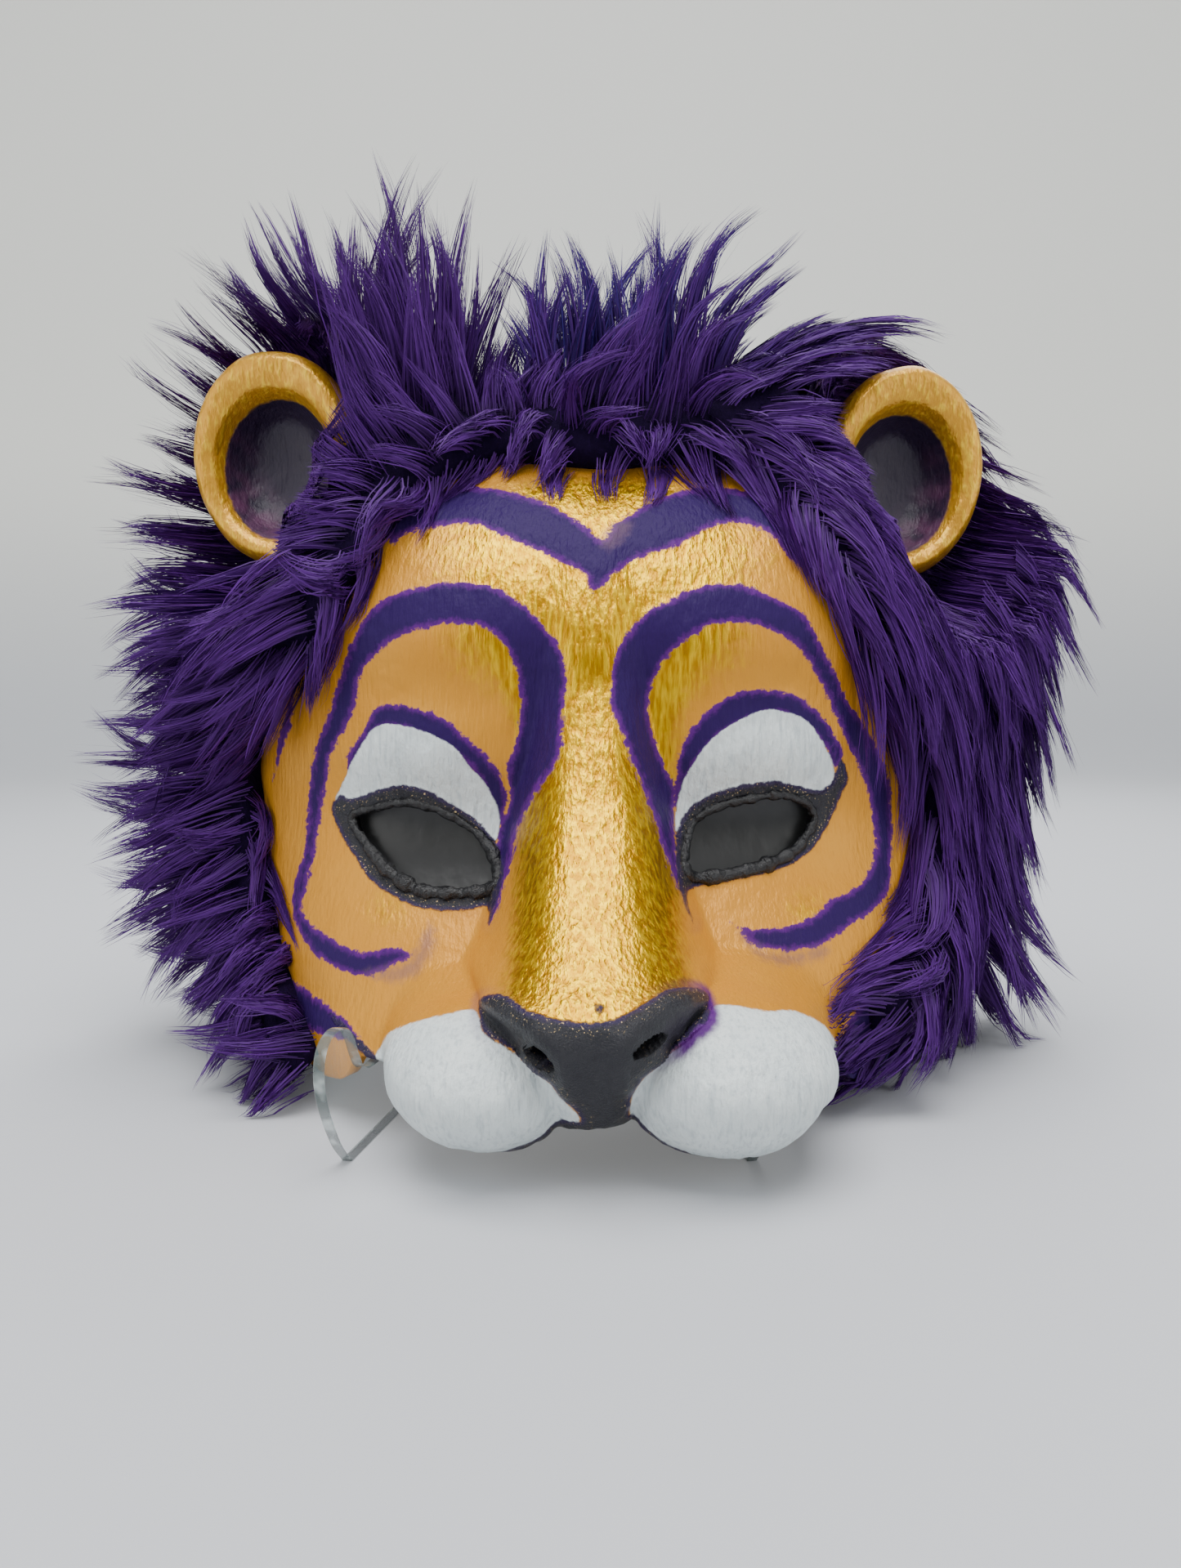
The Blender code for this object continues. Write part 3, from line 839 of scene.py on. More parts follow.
RIGHT_BROW: Outline = (
    (832, 1089), (813, 1050), (799, 1005), (790, 977), (776, 943), (765, 915), (749, 868), (747, 833),
    (754, 798), (779, 760), (803, 742), (832, 728), (864, 716), (905, 716), (940, 728), (970, 742),
    (990, 760), (1008, 795), (1026, 830), (1034, 851), (1057, 887), (1076, 921), (1088, 955),
    (1092, 994), (1092, 1044), (1089, 1089), (1068, 1115), (1043, 1131), (1015, 1151), (987, 1162),
    (953, 1164), (922, 1157), (905, 1140), (891, 1129), (914, 1137), (944, 1136), (973, 1131),
    (1001, 1117), (1017, 1101), (1043, 1089), (1062, 1070), (1071, 1039), (1065, 988), (1051, 938),
    (1028, 892), (1014, 857), (993, 816), (973, 789), (940, 770), (911, 763), (876, 763), (852, 775),
    (832, 789), (817, 804), (799, 837), (793, 876), (801, 907), (815, 943), (825, 966), (824, 1016),
)
LEFT_LID_ARC: Outline = (
    (425, 924), (443, 896), (463, 863), (494, 863), (524, 871), (550, 883), (575, 906), (598, 927),
    (616, 955), (621, 978), (611, 1010), (590, 960), (555, 925), (500, 895), (460, 895), (430, 945),
)
RIGHT_LID_ARC: Outline = (
    (822, 1000), (827, 952), (829, 924), (846, 893), (871, 865), (900, 848), (939, 844), (973, 851),
    (1001, 870), (1020, 896), (1031, 924), (1020, 940), (1000, 905), (955, 875), (900, 890),
    (860, 925), (835, 970),
)
LEFT_TEMPLE: Outline = ((361, 840), (353, 866), (342, 905), (333, 957), (342, 930), (357, 890))
RIGHT_TEMPLE: Outline = ((1040, 800), (1058, 815), (1085, 855), (1102, 898), (1080, 870), (1055, 835))
LEFT_JAW: Outline = (
    (345, 1195), (366, 1204), (391, 1222), (416, 1241), (436, 1261), (440, 1276), (394, 1266),
    (361, 1251), (345, 1240),
)
RIGHT_JAW: Outline = (
    (1113, 1085), (1092, 1150), (1066, 1212), (1034, 1258), (1026, 1335), (1120, 1335), (1140, 1150),
)
LEFT_LID: Outline = (
    (412, 983), (414, 968), (443, 909), (463, 888), (494, 888), (530, 900), (558, 916), (575, 939),
    (593, 957), (611, 993), (610, 1019), (604, 1030), (581, 1010), (540, 990), (479, 985), (430, 1000),
)
RIGHT_LID: Outline = (
    (825, 1000), (832, 966), (843, 941), (871, 904), (900, 884), (933, 869), (956, 870), (987, 882),
    (1006, 907), (1020, 938), (1018, 960), (1001, 972), (973, 972), (902, 975), (846, 1000), (828, 1020),
)
LEFT_PAD: Outline = (
    (468, 1276), (474, 1264), (502, 1252), (550, 1240), (579, 1236), (589, 1252), (591, 1264),
    (619, 1284), (647, 1302), (671, 1321), (687, 1341), (707, 1365), (707, 1377), (679, 1395),
    (650, 1412), (607, 1440), (563, 1430), (500, 1400), (470, 1345), (455, 1304),
)
RIGHT_PAD: Outline = (
    (771, 1357), (777, 1329), (800, 1304), (832, 1284), (856, 1264), (870, 1252), (872, 1234),
    (904, 1232), (940, 1238), (968, 1236), (992, 1243), (1012, 1256), (1026, 1280), (1030, 1310),
    (1028, 1345), (1014, 1380), (985, 1420), (920, 1440), (864, 1440), (810, 1412), (792, 1388),
    (775, 1373),
)
LEFT_LINER: Outline = (
    (406, 988), (415, 1016), (433, 1047), (453, 1077), (479, 1095), (504, 1108), (542, 1115),
    (575, 1113), (596, 1110), (598, 1131), (614, 1082), (616, 1057), (604, 1026), (581, 1001),
    (555, 985), (530, 970), (504, 962), (479, 962), (453, 970), (428, 978), (418, 972),
)
RIGHT_LINER: Outline = (
    (1029, 927), (1037, 952), (1031, 969), (1023, 988), (1009, 1016), (989, 1044), (953, 1064),
    (900, 1077), (855, 1085), (841, 1095), (850, 1131), (831, 1087), (825, 1033), (830, 1008),
    (846, 986), (871, 971), (902, 962), (944, 956), (973, 960), (1001, 967), (1018, 955),
)
NOSE_BLACK: Outline = (
    (587, 1240), (592, 1222), (623, 1220), (643, 1236), (671, 1246), (711, 1252), (735, 1252),
    (763, 1244), (792, 1228), (812, 1214), (848, 1212), (864, 1232), (868, 1252), (850, 1266),
    (832, 1284), (800, 1304), (777, 1329), (771, 1357), (775, 1375), (800, 1392), (840, 1420),
    (760, 1470), (680, 1450), (625, 1425), (679, 1395), (707, 1377), (707, 1365), (687, 1341),
    (671, 1321), (647, 1302), (619, 1284), (591, 1264),
)
NOSE_SPECK: Outline = ((728, 1232), (737, 1230), (738, 1240), (731, 1243))
MOUTH_CORNER: Outline = ((404, 1240), (413, 1243), (452, 1284), (464, 1300), (450, 1296), (428, 1272))

# Soft darker grey-mauve patches below the brow stripes' tails and in the top arch's notch.
LEFT_MAUVE_PATCH: Outline = (
    (446, 1190), (480, 1200), (512, 1190), (532, 1152), (524, 1130), (506, 1170), (484, 1182),
)
RIGHT_MAUVE_PATCH: Outline = (
    (905, 1142), (925, 1166), (958, 1180), (1000, 1174), (1012, 1160), (960, 1168), (925, 1158),
)
TOP_MAUVE_PATCH: Outline = ((737, 650), (760, 638), (772, 645), (752, 668), (738, 668))

PATTERN: dict[Paint, tuple[Outline, ...]] = {
    Paint.STRIPE: (
        TOP_ARCH, LEFT_BROW, RIGHT_BROW, LEFT_LID_ARC, RIGHT_LID_ARC, LEFT_TEMPLE, RIGHT_TEMPLE,
        LEFT_JAW, RIGHT_JAW,
    ),
    Paint.WHITE: (LEFT_LID, RIGHT_LID, LEFT_PAD, RIGHT_PAD),
    Paint.BLACK: (LEFT_LINER, RIGHT_LINER, NOSE_BLACK, NOSE_SPECK, MOUTH_CORNER),
    Paint.MAUVE_PATCH: (LEFT_MAUVE_PATCH, RIGHT_MAUVE_PATCH, TOP_MAUVE_PATCH),
}
PAINT_REACH = 12.0


@dataclass(frozen=True)
class Ridge:
    """A raised stroke of the nose, as a line in the photograph.

    Attributes:
        line: Its points.
        height: How far it stands out.
        reach: How wide it is to each side.
    """

    line: Outline
    height: float
    reach: float


NOSE_RIDGES: tuple[Ridge, ...] = (
    Ridge(((602, 1226), (634, 1240), (668, 1264), (690, 1298), (700, 1330)), 1.5, 2.2),
    Ridge(((596, 1246), (621, 1278), (652, 1302), (684, 1316)), 0.9, 1.4),
    Ridge(((852, 1222), (813, 1234), (779, 1256), (760, 1288), (757, 1320)), 1.5, 2.2),
    Ridge(((866, 1246), (822, 1282), (788, 1300), (764, 1310)), 0.9, 1.4),
)


@dataclass(frozen=True)
class PaintedPattern:
    """Lays the painted outlines on the face, as the camera sees them."""

    camera: PhotoCamera

    def distances(self, points: Array) -> dict[str, Array]:
        """Measures how deep each point lies in each kind of paint.

        Args:
            points: Points of the face, (n, 3).

        Returns:
            Distances in millimetres by the paint's name, less than nothing outside.
        """
        pixels, scale = self.camera.project(points)
        found = {}
        for paint, outlines in PATTERN.items():
            deepest = np.full(len(points), -PAINT_REACH)
            for outline in outlines:
                inside = inside_distance(pixels, rounded(outline, 3))
                deepest = np.maximum(deepest, inside * scale)
            found[paint.value] = np.clip(deepest, -PAINT_REACH, PAINT_REACH)
        return found

    def ridges(self, points: Array) -> Array:
        """Returns how far the nose's raised strokes stand out at each point of the face."""
        pixels, scale = self.camera.project(points)
        high = np.zeros(len(points))
        for ridge in NOSE_RIDGES:
            away = nearest_on(pixels, rounded(ridge.line, closed=False), closed=False)[1] * scale
            high = np.maximum(high, ridge.height * np.exp(-((away / ridge.reach) ** 2)))
        return high


# The shell


@dataclass(frozen=True)
class FaceForm:
    """The outer surface of the face: y at each x and z.

    Attributes:
        sections: Height, half width at the rim, y of the front, y of the rim, roundness of the section.
        nose: Height, y of the ridge, half width.
        nose_steepness: How sharply the nose's sides turn, as a power.
        pads: Middle x, y, z, half width, reach forward, rise and drop of each muzzle pad.
        nose_blend, pad_blend, pad_top_blend: How softly nose, pads and their tops join the face.
        swells: Distance from the middle, height, spread across, spread up, depth of each swelling.
        lower_edge: Distance from the middle, height of the shell's lower edge.
        edge_passes: How often the lower edge's place across is worked out anew.
    """

    sections: Array = field(default_factory=lambda: np.array([
        (2, 77, -46, 36, 1.90), (15, 82, -44, 40, 2.00), (30, 86, -33, 43, 2.05),
        (50, 90, -20, 47, 2.15), (72, 93, -12, 51, 2.30), (95, 92, -10, 54, 2.40),
        (115, 90, -9, 56, 2.50), (135, 85, 0, 58, 2.50), (152, 75, 18, 59, 2.40),
        (166, 62, 36, 60, 2.20), (176, 48, 50, 60, 2.00), (182, 34, 57, 60, 2.00),
    ], float))
    nose: Array = field(default_factory=lambda: np.array([
        (6, -48, 5.5), (14, -58, 6.5), (22, -63.5, 8.5), (30, -67.5, 12.5), (37, -67.5, 17.0),
        (44, -59, 15.5), (54, -47.5, 13.5), (66, -36, 12.0), (80, -25.5, 10.5), (95, -18, 9.5),
        (112, -12.5, 9.0), (130, -2, 8.0), (150, 22, 8.0), (166, 46, 8.0), (182, 76, 8.0),
    ], float))
    nose_middle: float = -1.0
    nose_steepness: float = 3.2
    nose_blend: float = 7.0
    pads: tuple[tuple[float, ...], ...] = (
        (-22.6, -35.0, 19.8, 22.0, 30.0, 15.5, 15.8),
        (25.4, -35.5, 20.8, 24.0, 31.8, 16.0, 17.5),
    )
    pad_blend: float = 4.0
    pad_top_blend: float = 13.0
    swells: tuple[tuple[float, ...], ...] = (
        (38, 66, 22, 15, 6.0), (38, 81, 17, 8, -5.5), (37, 108, 22, 11, -3.0), (62, 42, 18, 16, -3.0),
    )
    lower_edge: Array = field(default_factory=lambda: np.array([
        (0, 14.0), (7, 13.0), (13, 8.0), (23, 5.6), (32, 7.2), (38, 11.5), (43, 17.4), (53.2, 17.4),
        (55.0, 12.5), (57, 10.5), (62, 9.0), (68, 9.5), (74, 13.0), (82, 20.0), (95, 24.0),
    ], float))
    top_edge: float = 182.0
    edge_passes: int = 4
    wall: float = 3.0

    def section(self, z: Array) -> tuple[Array, ...]:
        """Returns the half width, front, rim and roundness of the section at a height."""
        return tuple(row_values(self.sections, z, column) for column in (1, 2, 3, 4))

    def surface(self, x: Array, z: Array) -> Array:
        """Returns the points of the outer surface at x and z, (..., 3)."""
        return np.stack([x, self.depth(x, z), z], -1)

    def depth(self, x: Array, z: Array) -> Array:
        """Returns y of the outer surface at x and z."""
        width, front, rim, power = self.section(z)
        across = np.clip(np.abs(x) / width, 0, 1)
        y = rim - (rim - front) * np.sqrt(np.clip(1 - across**power, 0, 1))
        for side in Side:
            for away, height, wide, tall, depth in self.swells:
                away_x = (x - side.value * away) / wide
                y = y + depth * np.exp(-0.5 * (away_x**2 + ((z - height) / tall) ** 2))
        ridge_y, ridge_half = (row_values(self.nose, z, column) for column in (1, 2))
        off = np.abs(x - self.nose_middle) / ridge_half
        y = smooth_min(y, ridge_y + 0.55 * ridge_half * off**self.nose_steepness, self.nose_blend)
        for middle_x, middle_y, middle_z, half, reach, rise, drop in self.pads:
            tall = np.where(z > middle_z, rise, drop)
            left_over = 1 - ((x - middle_x) / half) ** 2 - ((z - middle_z) / tall) ** 2
            dome = middle_y - reach * np.sqrt(np.clip(left_over, 0, 1)) - 40 * np.minimum(left_over, 0)
            above = ease(middle_z + 0.5 * rise, middle_z + rise, z)
            y = smooth_min(y, dome, self.pad_blend + (self.pad_top_blend - self.pad_blend) * above)
        return y

    def half_width(self, z: Array) -> Array:
        """Returns the half width of the rim at a height."""
        return row_values(self.sections, z, 1)

    def lowest(self, x: Array) -> Array:
        """Returns the height of the lower edge."""
        return np.interp(np.abs(x), self.lower_edge[:, 0], self.lower_edge[:, 1])

    def kept_outside(self, points: Array, moved: Array) -> Array:
        """Stops points that were in front of the face from moving back through it.

        Args:
            points: Where they were, (..., 3).
            moved: Where they are now.

        Returns:
            The new places, on the skin where they would have passed it.
        """
        x, z = moved[..., 0], moved[..., 2]
        over = (np.abs(x) < self.half_width(z) + 1) & (z < self.top_edge + 2) & (z > self.lowest(x) - 1)
        limit = np.maximum(points[..., 1], self.depth(x, np.minimum(z, self.top_edge)) - 1.5)
        y = np.where(over, np.minimum(moved[..., 1], limit), moved[..., 1])
        return np.stack([x, y, z], -1)

    def beside(self, points: Array) -> Array:
        """Moves points that lie behind the skin out to the face's side."""
        x, y, z = np.moveaxis(points, -1, 0)
        width, front, rim, power = self.section(z)
        back = np.clip((rim - y) / (rim - front), 0, 1)
        side = width * (1 - back**2) ** (1 / power) + 1.5
        return np.stack([np.sign(x) * np.maximum(np.abs(x), side), y, z], -1)

    def spread(self, columns: int, rows: int, passes: int = 3) -> Array:
        """Lays an even grid on the face, closer where the fur leaves it bare.

        Args:
            columns: Points across.
            rows: Points from the lower edge to the top.
            passes: How often the spacing is evened out.

        Returns:
            x and z of each point, (rows, columns, 2).
        """
        u = np.linspace(-1, 1, columns)
        turn = 0.5 * math.pi * (0.68 * u + 0.32 * u**3)
        v = np.linspace(0, 1, rows) ** 1.25
        low = np.full(columns, self.lower_edge[0, 1])
        for _ in range(self.edge_passes):
            away = self.half_width(low) * np.abs(np.sin(turn))
            low = np.interp(away, self.lower_edge[:, 0], self.lower_edge[:, 1])
        z = low + (self.top_edge - low) * v[:, None]
        x = self.half_width(z) * np.sin(turn)
        for _ in range(passes):
            for axis in (1, 0):
                x, z = self.evened(x, z, axis)
        return np.stack([x, z], axis=-1)

    def evened(self, x: Array, z: Array, axis: int) -> tuple[Array, Array]:
        """Slides points along the grid's lines until their steps over the surface are nearly alike.

        Args:
            x: x of each point.
            z: z of each point.
            axis: Which lines they slide along.

        Returns:
            The new x and z.
        """
        x, z = np.moveaxis(x, axis, 1), np.moveaxis(z, axis, 1)
        y = self.depth(x, z)
        bare = 0.35 + 0.65 * np.exp(-((x / 84) ** 6) - (np.maximum(z - 96, 0) / 68) ** 6)
        step = np.sqrt(np.diff(x) ** 2 + np.diff(y) ** 2 + np.diff(z) ** 2) * (bare[:, 1:] + bare[:, :-1])
        step = blurred(step, max(3, x.shape[1] // 22))
        flat = np.hypot(np.diff(x), np.diff(z))
        along = np.concatenate([np.zeros((len(x), 1)), np.cumsum(step + 0.3 * flat, axis=1)], axis=1)
        wanted = [np.linspace(0, line[-1], len(line)) for line in along]
        new_x, new_z = (
            np.array([np.interp(*one) for one in zip(wanted, along, values)]) for values in (x, z)
        )
        return np.moveaxis(new_x, 1, axis), np.moveaxis(new_z, 1, axis)


EYE_OPENINGS: dict[Side, tuple[Pair, ...]] = {
    Side.LEFT: (
        (-58.5, 66.5), (-52.0, 69.5), (-45.0, 71.0), (-39.0, 70.0), (-33.0, 67.6), (-27.0, 63.6),
        (-23.2, 58.6), (-22.4, 54.6), (-25.5, 51.8), (-37.5, 51.0), (-44.6, 52.9), (-51.0, 57.2),
    ),
    Side.RIGHT: (
        (19.6, 57.0), (20.6, 63.0), (23.4, 68.0), (29.7, 70.8), (37.8, 72.5), (44.0, 72.7),
        (49.0, 70.8), (51.4, 67.6), (50.2, 64.0), (46.5, 60.0), (40.5, 57.2), (32.2, 55.4), (23.0, 54.6),
    ),
}


@dataclass(frozen=True)
class Nostril:
    """One nostril, a tilted ellipse in x and z."""

    x: float
    z: float
    half_wide: float
    half_tall: float
    tilt: float

    def outline(self, grow: float = 0.0, sides: int = 32) -> Array:
        """Returns points round the nostril, grown outwards by a margin."""
        angle = full_turn(sides)
        a, b = (self.half_wide + grow) * np.cos(angle), (self.half_tall + grow) * np.sin(angle)
        turn = math.radians(self.tilt)
        return np.stack([
            self.x + a * math.cos(turn) - b * math.sin(turn),
            self.z + a * math.sin(turn) + b * math.cos(turn),
        ], -1)


NOSTRILS: dict[Side, Nostril] = {
    Side.LEFT: Nostril(-10.6, 30.4, 3.6, 1.9, -32),
    Side.RIGHT: Nostril(8.8, 33.0, 4.0, 1.7, 24),
}


@dataclass(frozen=True)
class FaceShell:
    """The papier-mache shell with its paint relief, eye openings, nostrils and mouth corner.

    Attributes:
        ears: The ears, round which the shell is painted purple.
        columns, rows: Points across and up of its outside.
        ear_size, ear_paint: Mean radius of an ear, and the share of it out to which the purple reaches.
        ear_before: How far it reaches in front of an ear's rim.
    """

    form: FaceForm
    pattern: PaintedPattern
    ears: Sequence["Ear"]
    columns: int = 284
    rows: int = 216
    ear_size: float = 24.0
    ear_paint: float = 1.3
    ear_before: float = 12.0

    def holes(self, grow: float) -> list[Array]:
        """Returns the outlines in x and z that are cut through the shell, nostrils grown by a margin."""
        outlines = [rounded(outline) for outline in EYE_OPENINGS.values()]
        return outlines + [nostril.outline(grow) for nostril in NOSTRILS.values()]

    def sheet(self, columns: int, rows: int, grow: float = 0.0) -> tuple[Array, Array]:
        """Lays a grid on the face and cuts the holes, with their edges drawn to the outlines.

        Args:
            columns: Points across.
            rows: Points up.
            grow: How much wider the nostrils are cut.

        Returns:
            x and z of each point, (n, 2), and the quads that are left.
        """
        flat = self.form.spread(columns, rows).reshape(-1, 2)
        quads = grid_quads(rows, columns)
        gone = np.zeros(len(quads), bool)
        for outline in self.holes(grow):
            low, high = outline.min(axis=0) - 6, outline.max(axis=0) + 6
            near = np.flatnonzero(np.all((flat > low) & (flat < high), axis=1))
            inside = np.zeros(len(flat), bool)
            inside[near] = inside_distance(flat[near], outline) > 0
            corners = inside[quads]
            lost = self.without_pinches(corners.all(axis=1).reshape(rows - 1, columns - 1)).ravel()
            gone |= lost
            edge = np.union1d(np.intersect1d(quads[lost], quads[~lost]), quads[~lost][corners[~lost]])
            flat[edge] = nearest_on(flat[edge], outline)[0]
        return flat, quads[~gone]

    @staticmethod
    def without_pinches(lost: Array) -> Array:
        """Keeps cut quads only where the cut has a simple edge, so that no corner is passed twice.

        Args:
            lost: Which quads of the grid are cut, (rows, columns).

        Returns:
            The same, with the quads that touch another only at a corner kept.
        """
        lost = lost.copy()
        for _ in range(20):
            a, b, c, d = lost[:-1, :-1], lost[:-1, 1:], lost[1:, :-1], lost[1:, 1:]
            pinch = (a == d) & (b == c) & (a != b)
            if not pinch.any():
                break
            for part in (a, b, c, d):
                part[pinch] = False
        return lost

    def relief(self, points: Array, paint: dict[str, Array]) -> Array:
        """Works out how far the hand-made surface stands out from the smooth form.

        Args:
            points: Points of the smooth form, (n, 3).
            paint: Depths in each paint.

        Returns:
            Millimetres along the normal.
        """
        x, z = points[:, 0], points[:, 2]
        high = 0.45 * lumps(points, 17, 1) + 0.16 * lumps(points, 5, 2) + 0.07 * lumps(points, 1.9, 3)
        bridge = self.bridge(x, z, 20, (34, 40), (118, 140))
        high += 0.07 * bridge * lumps(points, 1.5, 4, stretch=(1, 1.4, 3.5))
        high += 0.16 * ease(0, 1, paint["white"]) * lumps(points, 1.7, 5, stretch=(1, 1.3, 2.2))
        high += (0.16 + 0.12 * lumps(points, 2.0, 6)) * ease(-0.2, 0.6, paint["stripe"])
        rough = 0.25 + 0.26 * lumps(points, 1.9, 7) + 0.2 * lumps(points, 3.4, 8)
        return high + rough * ease(-0.3, 0.8, paint["black"]) + self.pattern.ridges(points)

    def build(self, workshop: Workshop, material: Material, paper: Material) -> None:
        """Makes the shell as one closed mesh: painted outside, bare paper inside."""
        outer, quads, values = self.outside()
        inner, quads_in, values_in = self.inside()
        points = np.concatenate([outer, inner])
        loops_in = [[v + len(outer) for v in loop] for loop in edge_loops(quads_in)]
        band: list[tuple[int, int, int]] = []
        for loop in edge_loops(quads):
            middle = points[loop].mean(axis=0)
            match = min(loops_in, key=lambda other: np.linalg.norm(points[other].mean(axis=0) - middle))
            band += zip_loops(points, loop, match)
        bare = np.zeros(len(inner))
        values = {key: np.concatenate([value, values_in.get(key, bare)]) for key, value in values.items()}
        faces = (quads, quads_in[:, ::-1] + len(outer), np.array(band))
        shell = workshop.piece("painted_face", points, faces, material, ("face_shell",), values)
        shell.data.materials.append(paper)
        inside = np.zeros(len(shell.data.polygons), np.int32)
        inside[len(quads):len(quads) + len(quads_in)] = 1
        shell.data.polygons.foreach_set("material_index", inside)

    def outside(self) -> tuple[Array, Array, dict[str, Array]]:
        """Makes the painted side.

        Returns:
            Its points, its quads, and the numbers that the finish reads at each point.
        """
        flat, quads = self.sheet(self.columns, self.rows)
        smooth = self.form.surface(*flat.T)
        normals = grid_normals(smooth.reshape(self.rows, self.columns, 3)).reshape(-1, 3)
        paint = self.pattern.distances(smooth)
        paint["black"] = np.maximum(paint["black"], self.lip(smooth))
        for ear in self.ears:
            across, up, depth = ear.shares(smooth)
            beside = self.ear_size * (self.ear_paint - np.hypot(across, up))
            beside = np.minimum(beside, depth + self.ear_before)
            paint["stripe"] = np.maximum(paint["stripe"], beside)
        outer = smooth + self.relief(smooth, paint)[:, None] * normals
        return outer, quads, {**paint, "gilt": self.gilding(smooth), "halo": self.halo(smooth)}

    def inside(self) -> tuple[Array, Array, dict[str, Array]]:
        """Makes the bare side, coarser and with wider nostrils; returns what outside does."""
        rows, columns = 2 * self.rows // 3, 2 * self.columns // 3
        flat, quads = self.sheet(columns, rows, grow=0.8)
        inner = self.form.surface(*flat.T)
        paint = self.pattern.distances(inner)
        inner -= self.form.wall * grid_normals(inner.reshape(rows, columns, 3)).reshape(-1, 3)
        inner[:, 1] += 0.3 * lumps(inner, 6, 11)
        return inner, quads, paint

    def lip(self, points: Array) -> Array:
        """Returns how deep points lie in the black line along the middle of the lower edge."""
        x, z = points[:, 0], points[:, 2]
        return 2.6 * np.exp(-((x / 21) ** 4)) - 0.5 - (z - self.form.lowest(x))

    @staticmethod
    def bridge(x: Array, z: Array, half: float, low: Pair, high: Pair) -> Array:
        """Returns 1 along the nose and up the forehead, eased to 0 at the sides and over both spans."""
        return np.exp(-((x / half) ** 4)) * ease(*low, z) * (1 - ease(*high, z))

    def gilding(self, points: Array) -> Array:
        """Returns where the paint is metallic gold rather than ochre, from 0 to 1."""
        x, z = points[:, 0], points[:, 2]
        bridge = self.bridge(x, z, 19, (30, 36), (132, 152))
        brow = 0.55 * patch(np.abs(x), z, (24, 108), (15, 14))
        forehead = patch(x, z, (0, 132), (42, 16))
        cheek = 0.45 * patch(np.abs(x), z, (48, 47), (10, 8))
        return np.clip(bridge + brow + forehead + cheek, 0, 1)

    @staticmethod
    def halo(points: Array) -> Array:
        """Returns where purple shows round the edge of the black paint, from 0 to 1."""
        x, z = points[:, 0], points[:, 2]
        wing, tip = patch(x, z, (22, 32), (9, 9)), 0.4 * patch(x, z, (-27, 36), (6, 8))
        return np.clip(1.6 * wing + tip, 0, 1)


@dataclass(frozen=True)
class EyeRim:
    """The thick lumpy bead of lacquer along an eye opening."""

    form: FaceForm
    side: Side
    radius: float = 1.5
    around: int = 14
    steps: int = 260

    def build(self, workshop: Workshop, material: Material) -> None:
        """Makes the bead, heavier along the lower lid."""
        outline = rounded(EYE_OPENINGS[self.side], 12)
        step = np.linalg.norm(np.roll(outline, -1, axis=0) - outline, axis=1)
        along = np.concatenate([[0], np.cumsum(step)])
        wanted = np.linspace(0, along[-1], self.steps, endpoint=False)
        closed = np.concatenate([outline, outline[:1]])
        x, z = (np.interp(wanted, along, closed[:, axis]) for axis in (0, 1))
        middle = self.form.surface(x, z)
        ahead = unit(np.roll(middle, -1, axis=0) - np.roll(middle, 1, axis=0))
        out = unit(np.cross(ahead, (0, 1, 0)))
        over = np.cross(ahead, out)
        low = 1 - ease(52, 66, z)
        rough = 0.30 * lumps(middle, 2.6, 21) + 0.24 * lumps(middle, 1.2, 22)
        size = self.radius * (0.72 + 0.5 * low + rough * (0.5 + 0.7 * low))
        angle = full_turn(self.around)[:, None]
        ring = out[:, None] * np.cos(angle) + over[:, None] * np.sin(angle)
        points = middle[:, None] + size[:, None, None] * ring
        points += 0.3 * lumps(points, 1.1, 23)[..., None] * ring
        quads = grid_quads(self.steps + 1, self.around, round_rows=True) % (self.steps * self.around)
        workshop.piece(f"eye_rim_{self.side.word}", points, (quads,), material)


@dataclass(frozen=True)
class BackedFilm:
    """A sheet of dark film glued behind an opening of the shell, a margin wider all round."""

    form: FaceForm
    name: str
    outline: Array
    margin: float
    gap: float = 0.35
    thickness: float = 0.8
    cells: int = 26

    def build(self, workshop: Workshop, material: Material, replaces: Sequence[str] = ()) -> None:
        """Makes the film, following the inside of the shell.

        Args:
            workshop: Makes the piece.
            material: Its finish.
            replaces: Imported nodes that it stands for.
        """
        low, high = self.outline.min(axis=0) - self.margin, self.outline.max(axis=0) + self.margin
        x, z = np.meshgrid(*np.linspace(low, high, self.cells).T)
        face = self.form.surface(x, z)
        inwards = -grid_normals(face)
        front = face + (self.form.wall + self.gap) * inwards
        back = front + self.thickness * inwards
        quads = grid_quads(self.cells, self.cells)
        points = np.concatenate([front.reshape(-1, 3), back.reshape(-1, 3)])
        loop = edge_loops(quads)[0]
        band = zip_loops(points, loop, [v + self.cells**2 for v in loop])
        faces = (quads, quads[:, ::-1] + self.cells**2, np.array(band))
        workshop.piece(self.name, points, faces, material, replaces)


# Ears


